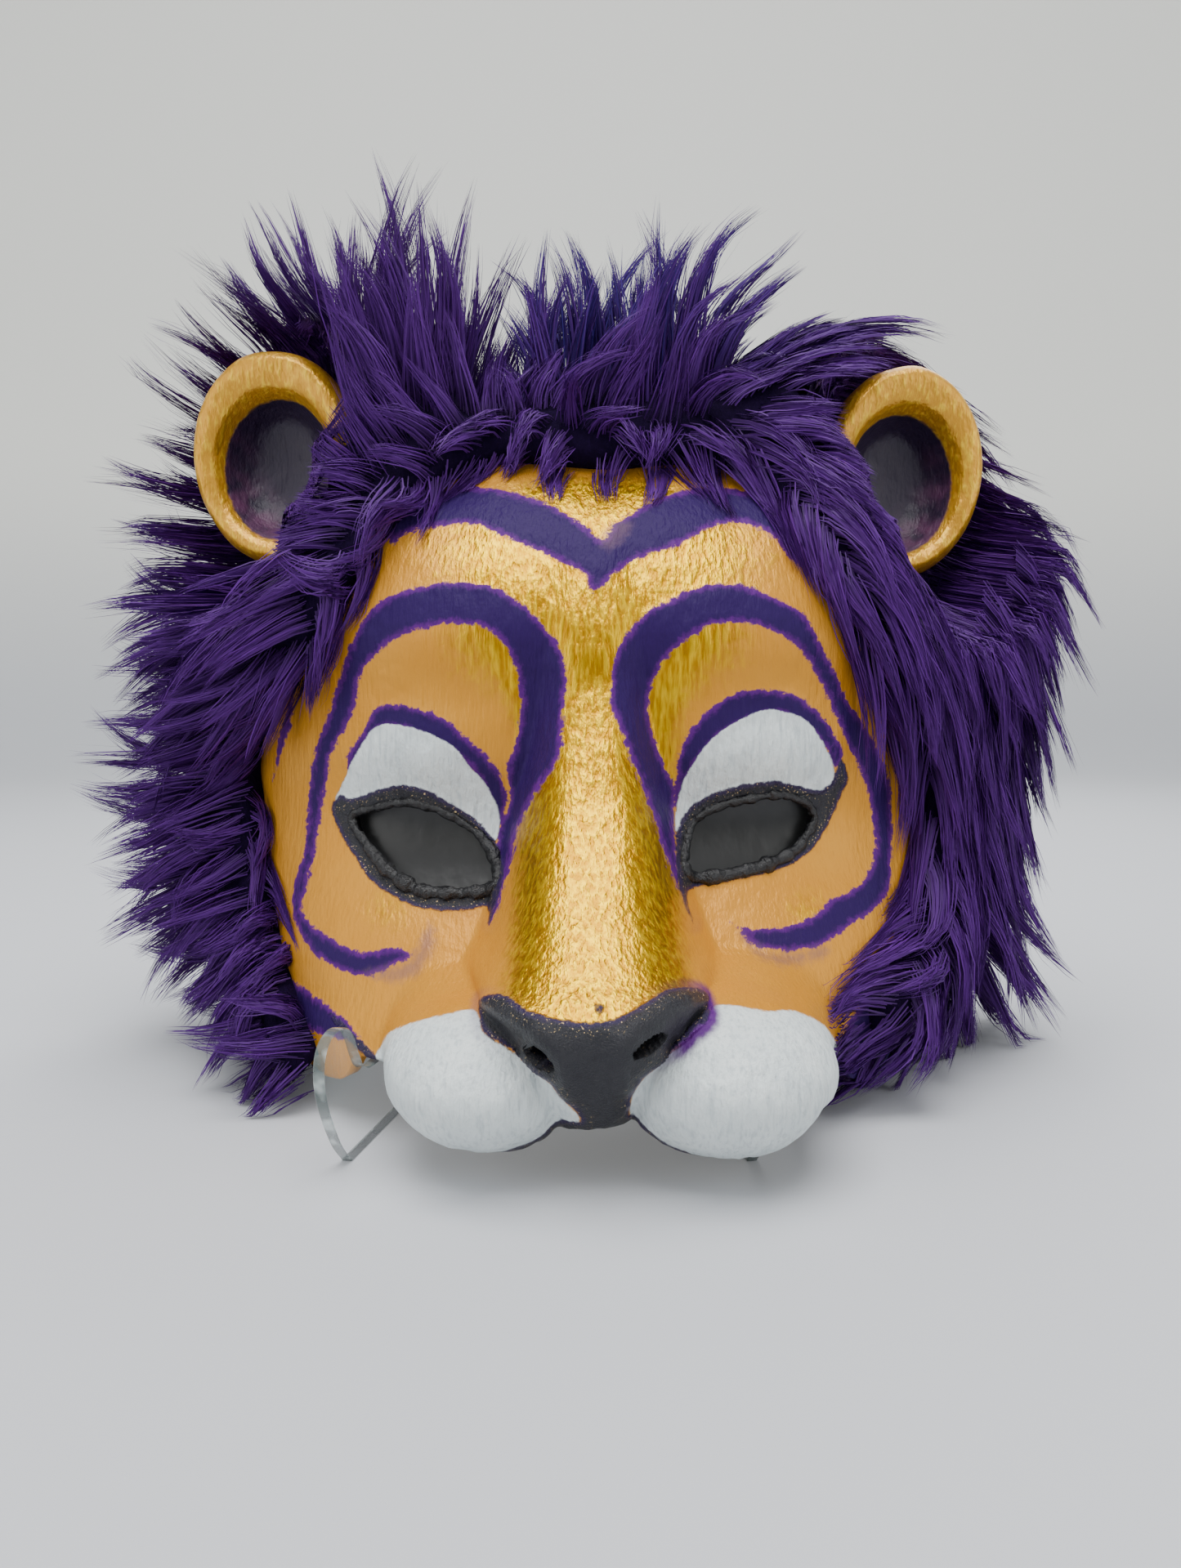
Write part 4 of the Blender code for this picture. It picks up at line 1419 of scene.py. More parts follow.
@dataclass(frozen=True)
class Ear:
    """A round cupped ear with a thick rolled rim.

    Attributes:
        side: Which ear.
        x, y, z: Middle of the rim.
        half_wide, half_tall: Its half sizes.
        roll, turn_out: Its tilt and turn in degrees.
        hidden_way: Which way the side lies that the fur covers, in degrees from the right to up.
        hidden_depth: How far the fur reaches over that side, as a share of the radius.
        per_corner, crest: Rows of points for each step of the profile, and the step at the rim's top.
        top_band: How much wider the rim is at the top, as a share of the radius.
        clearance: How far in front of the rim the fur is kept away.
        thickness, behind_depth: Depths of the back, with a little room, and of fur that runs behind it.
        cup_radius: Radius of the cup, as a share of the rim's.
        open_cover: Share of cover under which a side counts as open.
        lining_locks, lining_lengths: Number and lengths of locks in the hollow in front of the ear.
        lining_ways: How far round from the hidden way they stand, in degrees.
        profile: Share of the radius and depth behind the rim, from the cup's floor round to the back.
    """

    side: Side
    x: float
    y: float
    z: float
    half_wide: float
    half_tall: float
    roll: float
    turn_out: float
    hidden_way: float
    hidden_depth: float
    segments: int = 120
    per_corner: int = 5
    crest: int = 5
    top_band: float = 0.15
    clearance: float = 85.0
    thickness: float = 19.5
    behind_depth: float = 22.0
    cup_radius: float = 0.55
    open_cover: float = 0.3
    lining_locks: int = 72
    lining_ways: Pair = (-58, 95)
    lining_lengths: Pair = (12, 22)
    profile: tuple[Pair, ...] = (
        (0.02, 14.0), (0.40, 12.5), (0.62, 8.6), (0.74, 3.6), (0.81, 0.9), (0.90, 0.0), (0.98, 2.2),
        (1.00, 5.5), (0.94, 10.0), (0.78, 14.5), (0.50, 17.2), (0.02, 18.2),
    )

    def tilts(self) -> Pair:
        """Returns the ear's tilt and turn in radians, as its side has them."""
        return math.radians(self.side.value * self.roll), math.radians(self.side.value * self.turn_out)

    def place(self, across: Array, up: Array, depth: Array) -> Array:
        """Puts points of the ear on the head.

        Args:
            across: Distance to the right of the ear's middle, as a share of its half width.
            up: Distance above it, as a share of its half height.
            depth: Distance behind the rim.

        Returns:
            The points, (..., 3).
        """
        across, up = across * self.half_wide, up * self.half_tall
        roll, turn = self.tilts()
        right = across * math.cos(roll) + up * math.sin(roll)
        return np.stack([
            self.x + right * math.cos(turn) - depth * math.sin(turn),
            self.y + right * math.sin(turn) + depth * math.cos(turn),
            self.z + up * math.cos(roll) - across * math.sin(roll),
        ], -1)

    def shares(self, points: Array) -> tuple[Array, ...]:
        """Undoes place: returns across and up as shares of the ear's half sizes, and depth."""
        roll, turn = self.tilts()
        x, y, z = np.moveaxis(points - (self.x, self.y, self.z), -1, 0)
        right, depth = x * math.cos(turn) + y * math.sin(turn), y * math.cos(turn) - x * math.sin(turn)
        across, up = right * math.cos(roll) - z * math.sin(roll), right * math.sin(roll) + z * math.cos(roll)
        return across / self.half_wide, up / self.half_tall, depth

    def covered(self, way: Array) -> Array:
        """Returns how far the fur covers the ear on a side, from 0 to 1."""
        return ease(0.35, 0.8, np.cos(way - math.radians(self.hidden_way)))

    def seen(self, points: Array) -> tuple[Array, ...]:
        """Returns where points appear against the rim, as radius and hidden share, and their depth."""
        across, up, depth = self.shares(points)
        eye_across, eye_up, eye_depth = self.shares(np.array(VIEWPOINT))
        nearer = eye_depth / np.minimum(eye_depth - np.minimum(depth, 0), -1.0)
        across, up = eye_across + (across - eye_across) * nearer, eye_up + (up - eye_up) * nearer
        return np.hypot(across, up), self.covered(np.arctan2(up, across)), depth

    def before(self, depth: Array) -> Array:
        """Tells which depths lie in the ear or in front of it."""
        return (depth > -self.clearance) & (depth < self.thickness)

    def free(self, covered: Array) -> Array:
        """Returns the radius that the fur leaves free."""
        return 1.0 - self.hidden_depth * covered

    def back(self, points: Array) -> Array:
        """Moves points back until they clear the ear, least on the side that the fur covers."""
        across, up, depth = self.shares(points)
        radius, covered, _ = self.seen(points)
        radius = np.minimum(radius, np.hypot(across, up))
        free = self.free(covered)
        share = 1 - ease(free + 0.15 - 0.2 * covered, free + 0.7 - 0.55 * covered, radius)
        moved = np.maximum(depth, self.behind_depth * share + depth * (1 - share))
        return self.place(across, up, np.where(depth > -self.clearance, moved, depth))

    def holds(self, points: Array) -> Array:
        """Tells which roots lie on the ear or in front of its cup, and not behind its open side."""
        radius, covered, _ = self.seen(points)
        return self.entered(points) & ~((radius > self.cup_radius) & (covered < self.open_cover))

    def behind(self, points: Array) -> Array:
        """Tells which roots lie where the ear's open side hides them."""
        radius, covered, depth = self.seen(points)
        ring = (radius > self.cup_radius) & (radius < 1.6)
        return ring & self.before(depth) & (covered < self.open_cover)

    def entered(self, points: Array) -> Array:
        """Tells which points of the strands would hide the open cup."""
        radius, covered, depth = self.seen(points)
        return (radius < self.free(covered)) & self.before(depth)

    def contains(self, points: Array) -> Array:
        """Tells which points lie in the ear or its cup."""
        across, up, depth = self.shares(points)
        return (np.hypot(across, up) < 1.0) & (depth > -4) & (depth < 20)

    def lining(self, random: Random, steps: int) -> tuple[Array, ...]:
        """Lays locks along the fur's side of the hollow in front of the ear.

        Args:
            random: Source of chance.
            steps: Places along a lock.

        Returns:
            Places along each lock, (n, steps, 3), and the directions round, along and out of the hollow's
            side at its root.
        """
        count = self.lining_locks
        hidden = math.radians(self.hidden_way)
        way = hidden - self.side.value * np.radians(random.uniform(*self.lining_ways, count))
        front = -26 + 20 * np.sin(way)
        root_depth = front + (8 - front) * random.uniform(0, 1, count)
        length = np.minimum(random.uniform(*self.lining_lengths, count), 19.0 - root_depth)
        t = np.linspace(0, 1, steps)
        turned = way[:, None] + random.normal(0, 0.22, count)[:, None] * t
        depth = root_depth[:, None] + length[:, None] * t
        covered = self.covered(turned)
        slope = (0.55 - 0.35 * covered) * np.clip((self.behind_depth - depth) / 62, 0, 1)
        radius = self.free(covered) + np.maximum(0.04, 0.12 - 0.2 * covered + slope)
        eye_across, eye_up, eye_depth = self.shares(np.array(VIEWPOINT))
        farther = (eye_depth - depth) / eye_depth
        across = eye_across + (radius * np.cos(turned) - eye_across) * farther
        up = eye_up + (radius * np.sin(turned) - eye_up) * farther
        places = self.place(across, up, depth)
        along = unit(places[:, 1] - places[:, 0])
        middle = self.place(np.zeros(count), np.zeros(count), root_depth)
        around = unit(np.cross(along, middle - places[:, 0]))
        return places, around, along, np.cross(around, along)

    def combed(self, points: Array) -> Array:
        """Lifts fur over the rim's covered side, and moves it round the rim elsewhere."""
        across, up, depth = self.shares(points)
        radius = np.maximum(np.hypot(across, up), 1e-3)
        under = self.covered(np.arctan2(up, across)) >= 0.5
        close = (depth > -6) & (depth < self.thickness)
        push = np.where(close & ~under, np.maximum(1.06 / radius, 1.0), 1.0)
        depth = np.where(close & under & (radius < 1.08), -6 - 0.1 * depth, depth)
        return self.place(across * push, up * push, depth)

    def build(self, workshop: Workshop, material: Material) -> None:
        """Makes the ear, with its rim widest at the top."""
        curve = rounded(self.profile, self.per_corner, closed=False)
        angle = full_turn(self.segments)
        top = 0.5 + 0.5 * np.sin(angle)
        rows = len(curve)
        inside = (np.arange(rows) < self.crest * self.per_corner)[:, None]
        share = np.broadcast_to(curve[:, :1], (rows, self.segments))
        depth = np.broadcast_to(curve[:, 1:], share.shape)
        narrowing = self.top_band * top * ease(0.3, 0.75, share) * (1 - ease(0.8, 0.92, share))
        share = share - inside * narrowing
        points = self.place(share * np.cos(angle), share * np.sin(angle), depth)
        points[..., 1] += 0.4 * lumps(points, 7, 31) + 0.12 * lumps(points, 2, 32)
        points[..., 2] += 0.4 * lumps(points, 8, 33)
        cup = np.where(inside, 1.2 * (depth - 2.2 - 3.0 * top), -5.0)
        # Marks the cup's lower, outer wall for painted light.
        painted_cup_light = np.clip(0.4 - 0.6 * np.sin(angle) + 0.4 * self.side.value * np.cos(angle), 0, 1)
        values = {"cup": cup.ravel(), "painted_cup_light": (painted_cup_light * ease(0.25, 0.7, share)).ravel()}
        quads = grid_quads(rows, self.segments, round_rows=True)
        cap = np.arange(self.segments)[None]
        faces = (quads, cap[:, ::-1], (rows - 1) * self.segments + cap)
        word = self.side.word
        workshop.piece(f"painted_ear_{word}", points, faces, material, (f"ear_{word}",), values)


# The fur


class Flow(Enum):
    """The columns of the mane's flow table, after the angle."""

    INSET = 1
    INNER_HEADING = 2
    MIDDLE_HEADING = 3
    RIM_HEADING = 4
    INNER_LENGTH = 5
    RIM_LENGTH = 6
    LIFT = 7
    WILDNESS = 8


@dataclass(frozen=True)
class ManeForm:
    """The cloth that the fur grows from: a thick band round the face from jaw to jaw.

    A place on it is an angle, in degrees from straight up to the right, and a row of its section: 1 is
    the inner edge over the face, 5 to 6 the rim, and 9 the inner edge at the back.

    Attributes:
        face: The face that it surrounds.
        shape: Angle, radius of the inner edge, radius of the fur's outline.
        flow: Angle, and the columns that Flow names. Headings are in degrees from up to the right.
        middle_z: Height of the middle that the angles turn about.
        pile: How far the fur stands in front of the face.
        floor: Least height.
    """

    face: FaceForm
    shape: Array = field(default_factory=lambda: np.array([
        (-136, 92, 106), (-128, 91, 116), (-119, 91, 126), (-110, 90, 130), (-101, 88, 130),
        (-90, 89, 126), (-80, 83, 122), (-68, 72, 124), (-55, 71, 134), (-47, 73, 144), (-36, 76, 146),
        (-24, 78, 136), (-17, 77, 118), (-6, 73, 120), (4, 72, 118), (13, 75, 124), (20, 78, 118),
        (30, 79, 132), (42, 73, 142), (54, 68, 138), (66, 69, 130), (78, 74, 126), (90, 80, 122),
        (102, 83, 120), (113, 85, 122), (122, 84, 120), (130, 83, 112), (140, 80, 98),
    ], float))
    flow: Array = field(default_factory=lambda: np.array([
        (-136, 12, -125, -118, -112, 22, 30, 0.30, 0.9), (-119, 15, -130, -115, -105, 22, 32, 0.30, 0.9),
        (-101, 16, -138, -115, -98, 24, 33, 0.35, 0.9), (-90, 16, -138, -118, -95, 25, 33, 0.35, 0.9),
        (-75, 15, -138, -125, -85, 27, 33, 0.35, 0.9), (-62, 9, -134, -122, -78, 28, 30, 0.35, 0.9),
        (-50, 5, -128, -110, -60, 26, 28, 0.35, 0.7), (-40, 8, -118, -60, -42, 24, 34, 0.40, 0.7),
        (-30, 20, -118, -32, -22, 20, 48, 0.65, 0.8), (-22, 22, -140, -18, -16, 15, 48, 0.70, 0.7),
        (-14, 19, -170, -2, 0, 13, 13, 0.35, 0.9), (-6, 16, 178, 0, 4, 13, 38, 0.60, 1.1),
        (4, 16, 180, 15, 5, 13, 44, 0.65, 1.1), (13, 18, 170, -6, -6, 16, 46, 0.70, 0.8),
        (20, 8, 150, 70, 60, 26, 26, 0.20, 0.6), (30, 4, 140, 95, 92, 32, 34, 0.08, 0.4),
        (42, 2, 138, 125, 124, 34, 34, 0.06, 0.3), (54, 3, 141, 142, 148, 36, 36, 0.06, 0.3),
        (66, 6, 149, 156, 162, 36, 38, 0.06, 0.3), (78, 9, 158, 166, 170, 36, 40, 0.07, 0.3),
        (90, 10, 166, 172, 174, 36, 42, 0.09, 0.35), (102, 9, 174, 170, 166, 36, 42, 0.14, 0.45),
        (113, 8, 194, 172, 152, 34, 40, 0.20, 0.5), (122, 9, 216, 200, 150, 36, 40, 0.18, 0.5),
        (130, 8, 228, 224, 178, 36, 40, 0.16, 0.5), (140, 8, 236, 230, 205, 22, 30, 0.14, 0.5),
    ], float))
    middle_z: float = 80.0
    pile: float = 8.0
    floor: float = 2.2

    def ends(self) -> Pair:
        """Returns the first and the last angle."""
        return self.shape[0, 0], self.shape[-1, 0]

    def section(self, angle: Array) -> Array:
        """Works out the section at each angle.

        Args:
            angle: Angles, (n,).

        Returns:
            Radius and y of its rows, (n, 11, 2).
        """
        edge, outline = row_values(self.shape, angle, 1), row_values(self.shape, angle, 2)
        inset = row_values(self.flow, angle, Flow.INSET.value)
        turn = np.radians(angle)
        skin = self.face.depth(edge * np.sin(turn), self.middle_z + edge * np.cos(turn))
        front = np.maximum(skin - self.pile, -18.0)
        same = np.ones_like(edge)
        rows = (
            (edge - 5, skin + 14), (edge + 0.5, front + 4), (edge + 9, front + 4.5),
            (0.45 * edge + 0.55 * outline - 0.4 * inset, 0.62 * front + 12 + 0.4 * inset),
            (outline - 6 - 0.9 * inset, 0.35 * front + 29 + 0.4 * inset),
            (outline - inset, 48 * same), (outline - inset, 57 * same), (outline - inset - 2, 65 * same),
            (0.35 * edge + 0.65 * outline - 0.6 * inset, 72 * same), (edge + 8, 73 * same),
            (edge - 10, 71 * same),
        )
        return np.stack([np.stack(row, -1) for row in rows], 1)

    def place(self, angle: Array, row: Array) -> Array:
        """Returns the points at angles and rows, (n, 3)."""
        section = self.section(angle)
        last = section.shape[1] - 1
        at = np.clip(np.floor(row).astype(int), 0, last - 1)
        t = (row - at)[:, None]
        which = np.arange(len(angle))
        before, here, after, beyond = (section[which, np.clip(at + k, 0, last)] for k in (-1, 0, 1, 2))
        radius, y = (
            here + 0.5 * t * (after - before)
            + t**2 * (before - 2.5 * here + 2 * after - 0.5 * beyond)
            + t**3 * (1.5 * (here - after) + 0.5 * (beyond - before))
        ).T
        turn = np.radians(angle)
        z = np.maximum(self.middle_z + radius * np.cos(turn), self.floor)
        return np.stack([radius * np.sin(turn), y, z], -1)

    def frame(self, angle: Array, row: Array) -> tuple[Array, ...]:
        """Returns the point, its change for a degree and for a row, and the outward normal."""
        point = self.place(angle, row)
        along = self.place(angle + 0.5, row) - self.place(angle - 0.5, row)
        across = (self.place(angle, row + 0.05) - self.place(angle, row - 0.05)) / 0.1
        return point, along, across, unit(np.cross(along, across))

    def heading(self, angle: Array, row: Array) -> Array:
        """Returns which way the fur lies in x and z, shorter than 1 where it parts, (n, 2)."""
        ways = []
        for column in (Flow.INNER_HEADING, Flow.MIDDLE_HEADING, Flow.RIM_HEADING):
            turn = np.radians(self.flow[:, column.value])
            parts = (np.interp(angle, self.flow[:, 0], part(turn)) for part in (np.sin, np.cos))
            ways.append(np.stack(list(parts), -1))
        to_middle, to_rim = ease(1.2, 3.0, row)[:, None], ease(3.0, 5.0, row)[:, None]
        return (ways[0] * (1 - to_middle) + ways[1] * to_middle) * (1 - to_rim) + ways[2] * to_rim

    def build(self, workshop: Workshop, ears: Sequence[Ear], material: Material) -> None:
        """Makes the cloth, with room for the ears."""
        rows, count = 61, 200
        row, angle = np.meshgrid(np.linspace(0, 10, rows), np.linspace(*self.ends(), count), indexing="ij")
        points = self.place(angle.ravel(), row.ravel())
        for ear in ears:
            points = self.face.kept_outside(points, ear.back(points))
        first = np.arange(count - 1)
        last = (rows - 1) * count + first
        quads = np.concatenate([grid_quads(rows, count), np.stack([last, last + 1, first + 1, first], -1)])
        middles = points[quads].mean(axis=1)
        beside = np.abs(middles[:, 0]) > self.face.half_width(middles[:, 2]) + 1
        quads = quads[~(beside & np.any([ear.contains(middles) for ear in ears], axis=0))]
        end = np.arange(rows) * count
        caps = np.array([end, (end + count - 1)[::-1]])
        workshop.piece("fur_cloth", points, (quads, caps), material, ("fur_mane",))


@dataclass(frozen=True)
class Locks:
    """The middle lines of the locks of fur.

    Attributes:
        angle, row: Where each is rooted on the mane, and 0 beside the ears.
        lines: Places along each, (n, steps, 3).
        along, across, normal: Directions at each root: two over the ground, and one out of it.
        outer: How many of them, from the first, are rooted on the mane.
    """

    angle: Array
    row: Array
    lines: Array
    along: Array
    across: Array
    normal: Array
    outer: int


@dataclass(frozen=True)
class FurCoat:
    """Long-pile fur: locks of fine ribbons that follow the mane's flow.

    Attributes:
        spacing: Distance between locks.
        strands, tufts: Ribbons in a lock, and points that they gather to.
        steps: Places along a ribbon.
        width, taper: A ribbon's width near its root, and the share of it at each step.
        pieces: How many objects share the ribbons.
        back_limit: y that the fur scarcely passes.
        lengths, lifts: Least and greatest share that chance gives a lock of its length and its lift.
        root_step, root_tries: How finely the rows are tried for roots, and the tries for each lock.
        row_limits: Least and greatest row that a lock follows.
    """

    form: ManeForm
    ears: Sequence[Ear]
    spacing: float = 7.8
    strands: int = 64
    tufts: int = 5
    steps: int = 6
    width: float = 0.36
    taper: tuple[float, ...] = (0.8, 1.0, 0.9, 0.7, 0.45, 0.0)
    pieces: int = 4
    back_limit: float = 84.0
    lengths: Pair = (0.72, 1.15)
    lifts: Pair = (0.6, 1.4)
    root_step: float = 0.02
    root_tries: int = 8
    row_limits: Pair = (0.6, 8.6)
    seed: int = 7

    def roots(self, random: Random) -> tuple[Array, Array]:
        """Spreads the locks evenly over the cloth.

        Args:
            random: Source of chance.

        Returns:
            Their angles and rows.
        """
        first, last = self.form.ends()
        row, angle = (grid.ravel() for grid in np.meshgrid(
            np.arange(0.8, 9.0, self.root_step), np.arange(first + 0.5, last - 0.4, 1.0), indexing="ij"
        ))
        _, along, across, _ = self.form.frame(angle, row)
        area = np.linalg.norm(np.cross(along, across), axis=1) * self.root_step
        tries = int(area.sum() / self.spacing**2) * self.root_tries
        picked = random.choice(len(angle), tries, replace=False, p=area / area.sum())
        angle, row = angle[picked] + random.uniform(-0.5, 0.5, tries), row[picked]
        place = self.form.place(angle, row)
        apart = (0.72 * self.spacing) ** 2
        kept: list[int] = []
        for candidate in range(tries):
            if not kept or ((place[kept] - place[candidate]) ** 2).sum(axis=1).min() > apart:
                kept.append(candidate)
        angle, row, place = angle[kept], row[kept], place[kept]
        free = ~np.any([ear.holds(place) for ear in self.ears], axis=0)
        return angle[free], row[free]

    def guides(self, angle: Array, row: Array, random: Random) -> tuple[Array, ...]:
        """Walks each lock's middle line along the flow.

        Args:
            angle: The locks' angles.
            row: The locks' rows.
            random: Source of chance.

        Returns:
            Places along each lock, (n, steps, 3), and the cloth's two directions at its root.
        """
        inner, rim, lift, wild = (
            row_values(self.form.flow, angle, column.value)
            for column in (Flow.INNER_LENGTH, Flow.RIM_LENGTH, Flow.LIFT, Flow.WILDNESS)
        )
        out = ease(1.4, 4.2, row)
        length = (inner * (1 - out) + rim * out) * random.uniform(*self.lengths, len(angle))
        length *= 1 - 0.65 * ease(6.0, 8.5, row)
        lift = lift * (0.55 + 0.45 * out) * random.uniform(*self.lifts, len(angle))
        start, along, across, normal = self.form.frame(angle, row)
        root_along, root_across = unit(along), unit(across)
        swirl = np.radians(30 * lumps(start, 34, 51) + random.normal(0, 13, len(angle))) * wild
        curl = np.radians(random.normal(0, 36, len(angle)) + 26 * lumps(start, 25, 52)) * wild
        place, places = start, [start]
        parts = self.steps - 1
        for step in range(parts):
            t = (step + 0.5) / parts
            flat = self.form.heading(angle, row)
            turn = swirl + curl * t
            x = flat[:, 0] * np.cos(turn) + flat[:, 1] * np.sin(turn)
            z = flat[:, 1] * np.cos(turn) - flat[:, 0] * np.sin(turn)
            way = np.stack([x, np.zeros_like(x), z - 0.22 * t * (1 - lift)], -1)
            inwards = np.minimum((way * normal).sum(axis=1, keepdims=True), 0)
            way = way - inwards * normal + normal * (lift * (1.5 - 1.1 * t) + 0.35 * (t < 0.2))[:, None]
            moved = unit(way) * (length / parts)[:, None]
            place = place + moved
            places.append(place)
            angle = angle + (moved * along).sum(axis=1) / np.maximum((along**2).sum(axis=1), 0.05)
            row = row + (moved * across).sum(axis=1) / np.maximum((across**2).sum(axis=1), 4.0)
            angle, row = np.clip(angle, *self.form.ends()), np.clip(row, *self.row_limits)
            _, along, across, normal = self.form.frame(angle, row)
        return np.stack(places, 1), root_along, root_across

    def locks(self, random: Random) -> Locks:
        """Makes the middle lines of all locks: those on the mane, then those beside the ears."""
        angle, row = self.roots(random)
        parts = (*self.guides(angle, row, random), self.form.frame(angle, row)[3])
        outer = len(angle)
        for ear in self.ears:
            line, *ways = ear.lining(random, self.steps)
            added = (self.form.face.beside(line), *ways)
            parts = tuple(np.concatenate(pair) for pair in zip(parts, added))
        blank = np.zeros(len(parts[0]) - outer)
        return Locks(np.append(angle, blank), np.append(row, blank), *parts, outer)

    def spread(self, locks: Locks, random: Random) -> tuple[Array, ...]:
        """Spreads each lock's strands about its middle line, in tufts that close towards their tips.

        Args:
            locks: The locks.
            random: Source of chance.

        Returns:
            Places on the strands, (locks, strands, steps, 3), their distances off the lock's middle line,
            and the way that each strand waves, (locks, strands, 3).
        """
        count = len(locks.angle)
        shape, per_tuft = (count, self.strands), (count, self.tufts)
        tuft = random.integers(0, self.tufts, shape)
        tuft_flat = self.scattered(0.5, per_tuft, random)
        own_flat = self.scattered(0.42, shape, random)
        base = np.take_along_axis(tuft_flat, tuft[..., None], 1)
        tuft_length = np.take_along_axis(random.uniform(0.78, 1.12, per_tuft), tuft, 1)
        loose = random.uniform(0, 1, shape) ** 2.4
        reach = tuft_length * random.uniform(0.72, 1.0, shape)
        t = np.linspace(0, 1, self.steps)
        at = np.clip(t * reach[..., None] * (self.steps - 1), 0, self.steps - 1.001)
        low = at.astype(int)
        part = (at - low)[..., None]
        which = np.arange(count)[:, None, None]
        line = locks.lines[which, low] * (1 - part) + locks.lines[which, low + 1] * part
        closing = (1 - (0.93 - 0.75 * loose)[..., None] * t**0.75)[..., None]
        flat = (1 - 0.55 * t)[:, None] * base[:, :, None] + closing * own_flat[:, :, None]
        off = flat[..., :1] * locks.along[:, None, None] + flat[..., 1:] * locks.across[:, None, None]
        wave_way = random.normal(0, 1, (*shape, 3))
        phase = random.uniform(0, 2 * math.pi, shape)[..., None]
        wave = (0.9 * np.sin(phase + 5.0 * t) * t)[..., None] * wave_way[:, :, None]
        return line + off + wave * (0.35 + 1.2 * loose)[..., None, None], off, wave_way

    def scattered(self, share: float, shape: tuple[int, int], random: Random) -> Array:
        """Scatters places evenly over a disc, whose radius is a share of the spacing."""
        way = random.uniform(0, 2 * math.pi, shape)
        off = share * self.spacing * np.sqrt(random.uniform(0, 1, shape))
        return np.stack([off * np.cos(way), off * np.sin(way)], -1)

    def cleared(self, locks: Locks, points: Array) -> tuple[Array, Array]:
        """Takes the strands out of the ears, the face and the table.

        Args:
            locks: The locks.
            points: Places on the strands, (locks, strands, steps, 3).

        Returns:
            The new places, and which strands have nothing left to show.
        """
        lost = np.zeros(points.shape[:2], bool)
        for ear in self.ears:
            tucked = ear.behind(locks.lines[:, 0])
            tucked[locks.outer:] = False
            points[tucked] = self.form.face.kept_outside(points[tucked], ear.back(points[tucked]))
            points[:locks.outer] = ear.combed(points[:locks.outer])
            points, ended = self.shortened(points, ear.entered(points))
            lost |= ended
        return self.kept_clear(points), lost

    def build(self, workshop: Workshop, material: Material) -> None:
        """Makes the ribbons, in several pieces."""
        random = np.random.default_rng(self.seed)
        locks = self.locks(random)
        points, off, wave_way = self.spread(locks, random)
        points, lost = self.cleared(locks, points)
        shape = lost.shape
        facing = locks.normal[:, None, None] + 0.8 * unit(off) + 0.45 * wave_way[:, :, None]
        side = unit(np.cross(unit(np.gradient(points, axis=2)), facing))
        half = 0.5 * self.width * np.array(self.taper)[:, None]
        side = half * random.uniform(0.7, 1.3, shape)[..., None, None] * side
        per_strand = 2 * self.steps - 1
        corners = np.stack([points - side, points + side], 3)
        corners = corners.reshape(-1, per_strand + 1, 3)[:, :-1]

        lock_tone = 0.5 + 0.5 * lumps(locks.lines[:, 2], 9, 61)
        tone = np.clip(0.15 + 0.35 * lock_tone[:, None] + 0.5 * random.uniform(-0.3, 1, shape) ** 2, 0, 1)
        top_middle = np.exp(-(((locks.angle - 2) / 16) ** 2)) * ease(2.5, 4, locks.row)
        blue = np.clip(top_middle[:, None] * random.uniform(0, 1.1, shape), 0, 1)
        along = np.repeat(np.linspace(0, 1, self.steps), 2)[:-1]
        order = random.permutation(np.flatnonzero(~lost.ravel()))
        strip = 2 * np.arange(self.steps - 2)[:, None] + np.array([0, 1, 3, 2])
        tip = per_strand + np.array([[-3, -2, -1]])
        for number, chosen in enumerate(np.array_split(order, self.pieces)):
            starts = per_strand * np.arange(len(chosen))[:, None, None]
            faces = ((starts + strip).reshape(-1, 4), (starts + tip).reshape(-1, 3))
            values = {
                "along": np.tile(along, len(chosen)),
                "tone": tone.ravel()[chosen].repeat(per_strand),
                "blue": blue.ravel()[chosen].repeat(per_strand),
            }
            name = f"fur_strands_{number + 1}"
            workshop.piece(name, corners[chosen], faces, material, ("fur_mane",), values)

    def shortened(self, points: Array, barred: Array) -> tuple[Array, Array]:
        """Ends strands before they come where they are barred.

        Args:
            points: Places on the strands, (locks, strands, steps, 3).
            barred: Which of them are barred.

        Returns:
            The new places, and which strands have nothing left to show.
        """
        first = np.where(barred.any(axis=-1), barred.argmax(axis=-1), self.steps)
        share = np.clip((first - 0.6) / (self.steps - 1), 0, 1)
        at = np.linspace(0, 1, self.steps) * share[..., None] * (self.steps - 1)
        low = np.minimum(at.astype(int), self.steps - 2)
        part = (at - low)[..., None]
        before = np.take_along_axis(points, low[..., None], 2)
        after = np.take_along_axis(points, low[..., None] + 1, 2)
        return before * (1 - part) + after * part, first < 2

    def kept_clear(self, points: Array) -> Array:
        """Moves fur off the face's skin and off the table.

        Args:
            points: Places on the strands, (..., 3).

        Returns:
            The moved places.
        """
        face = self.form.face
        x, y, z = np.moveaxis(points, -1, 0)
        over = (np.abs(x) < face.half_width(z) - 1) & (z < face.top_edge) & (z > face.lowest(x) - 1)
        skin = face.depth(x, z) - 1.2
        inside_wall = y < skin + 14
        y = np.where(over & inside_wall, np.minimum(y, skin), y)
        y = np.minimum(y, self.back_limit + 0.3 * np.maximum(y - self.back_limit, 0))
        return np.stack([x, y, np.maximum(z, 0.6)], -1)


# The stand


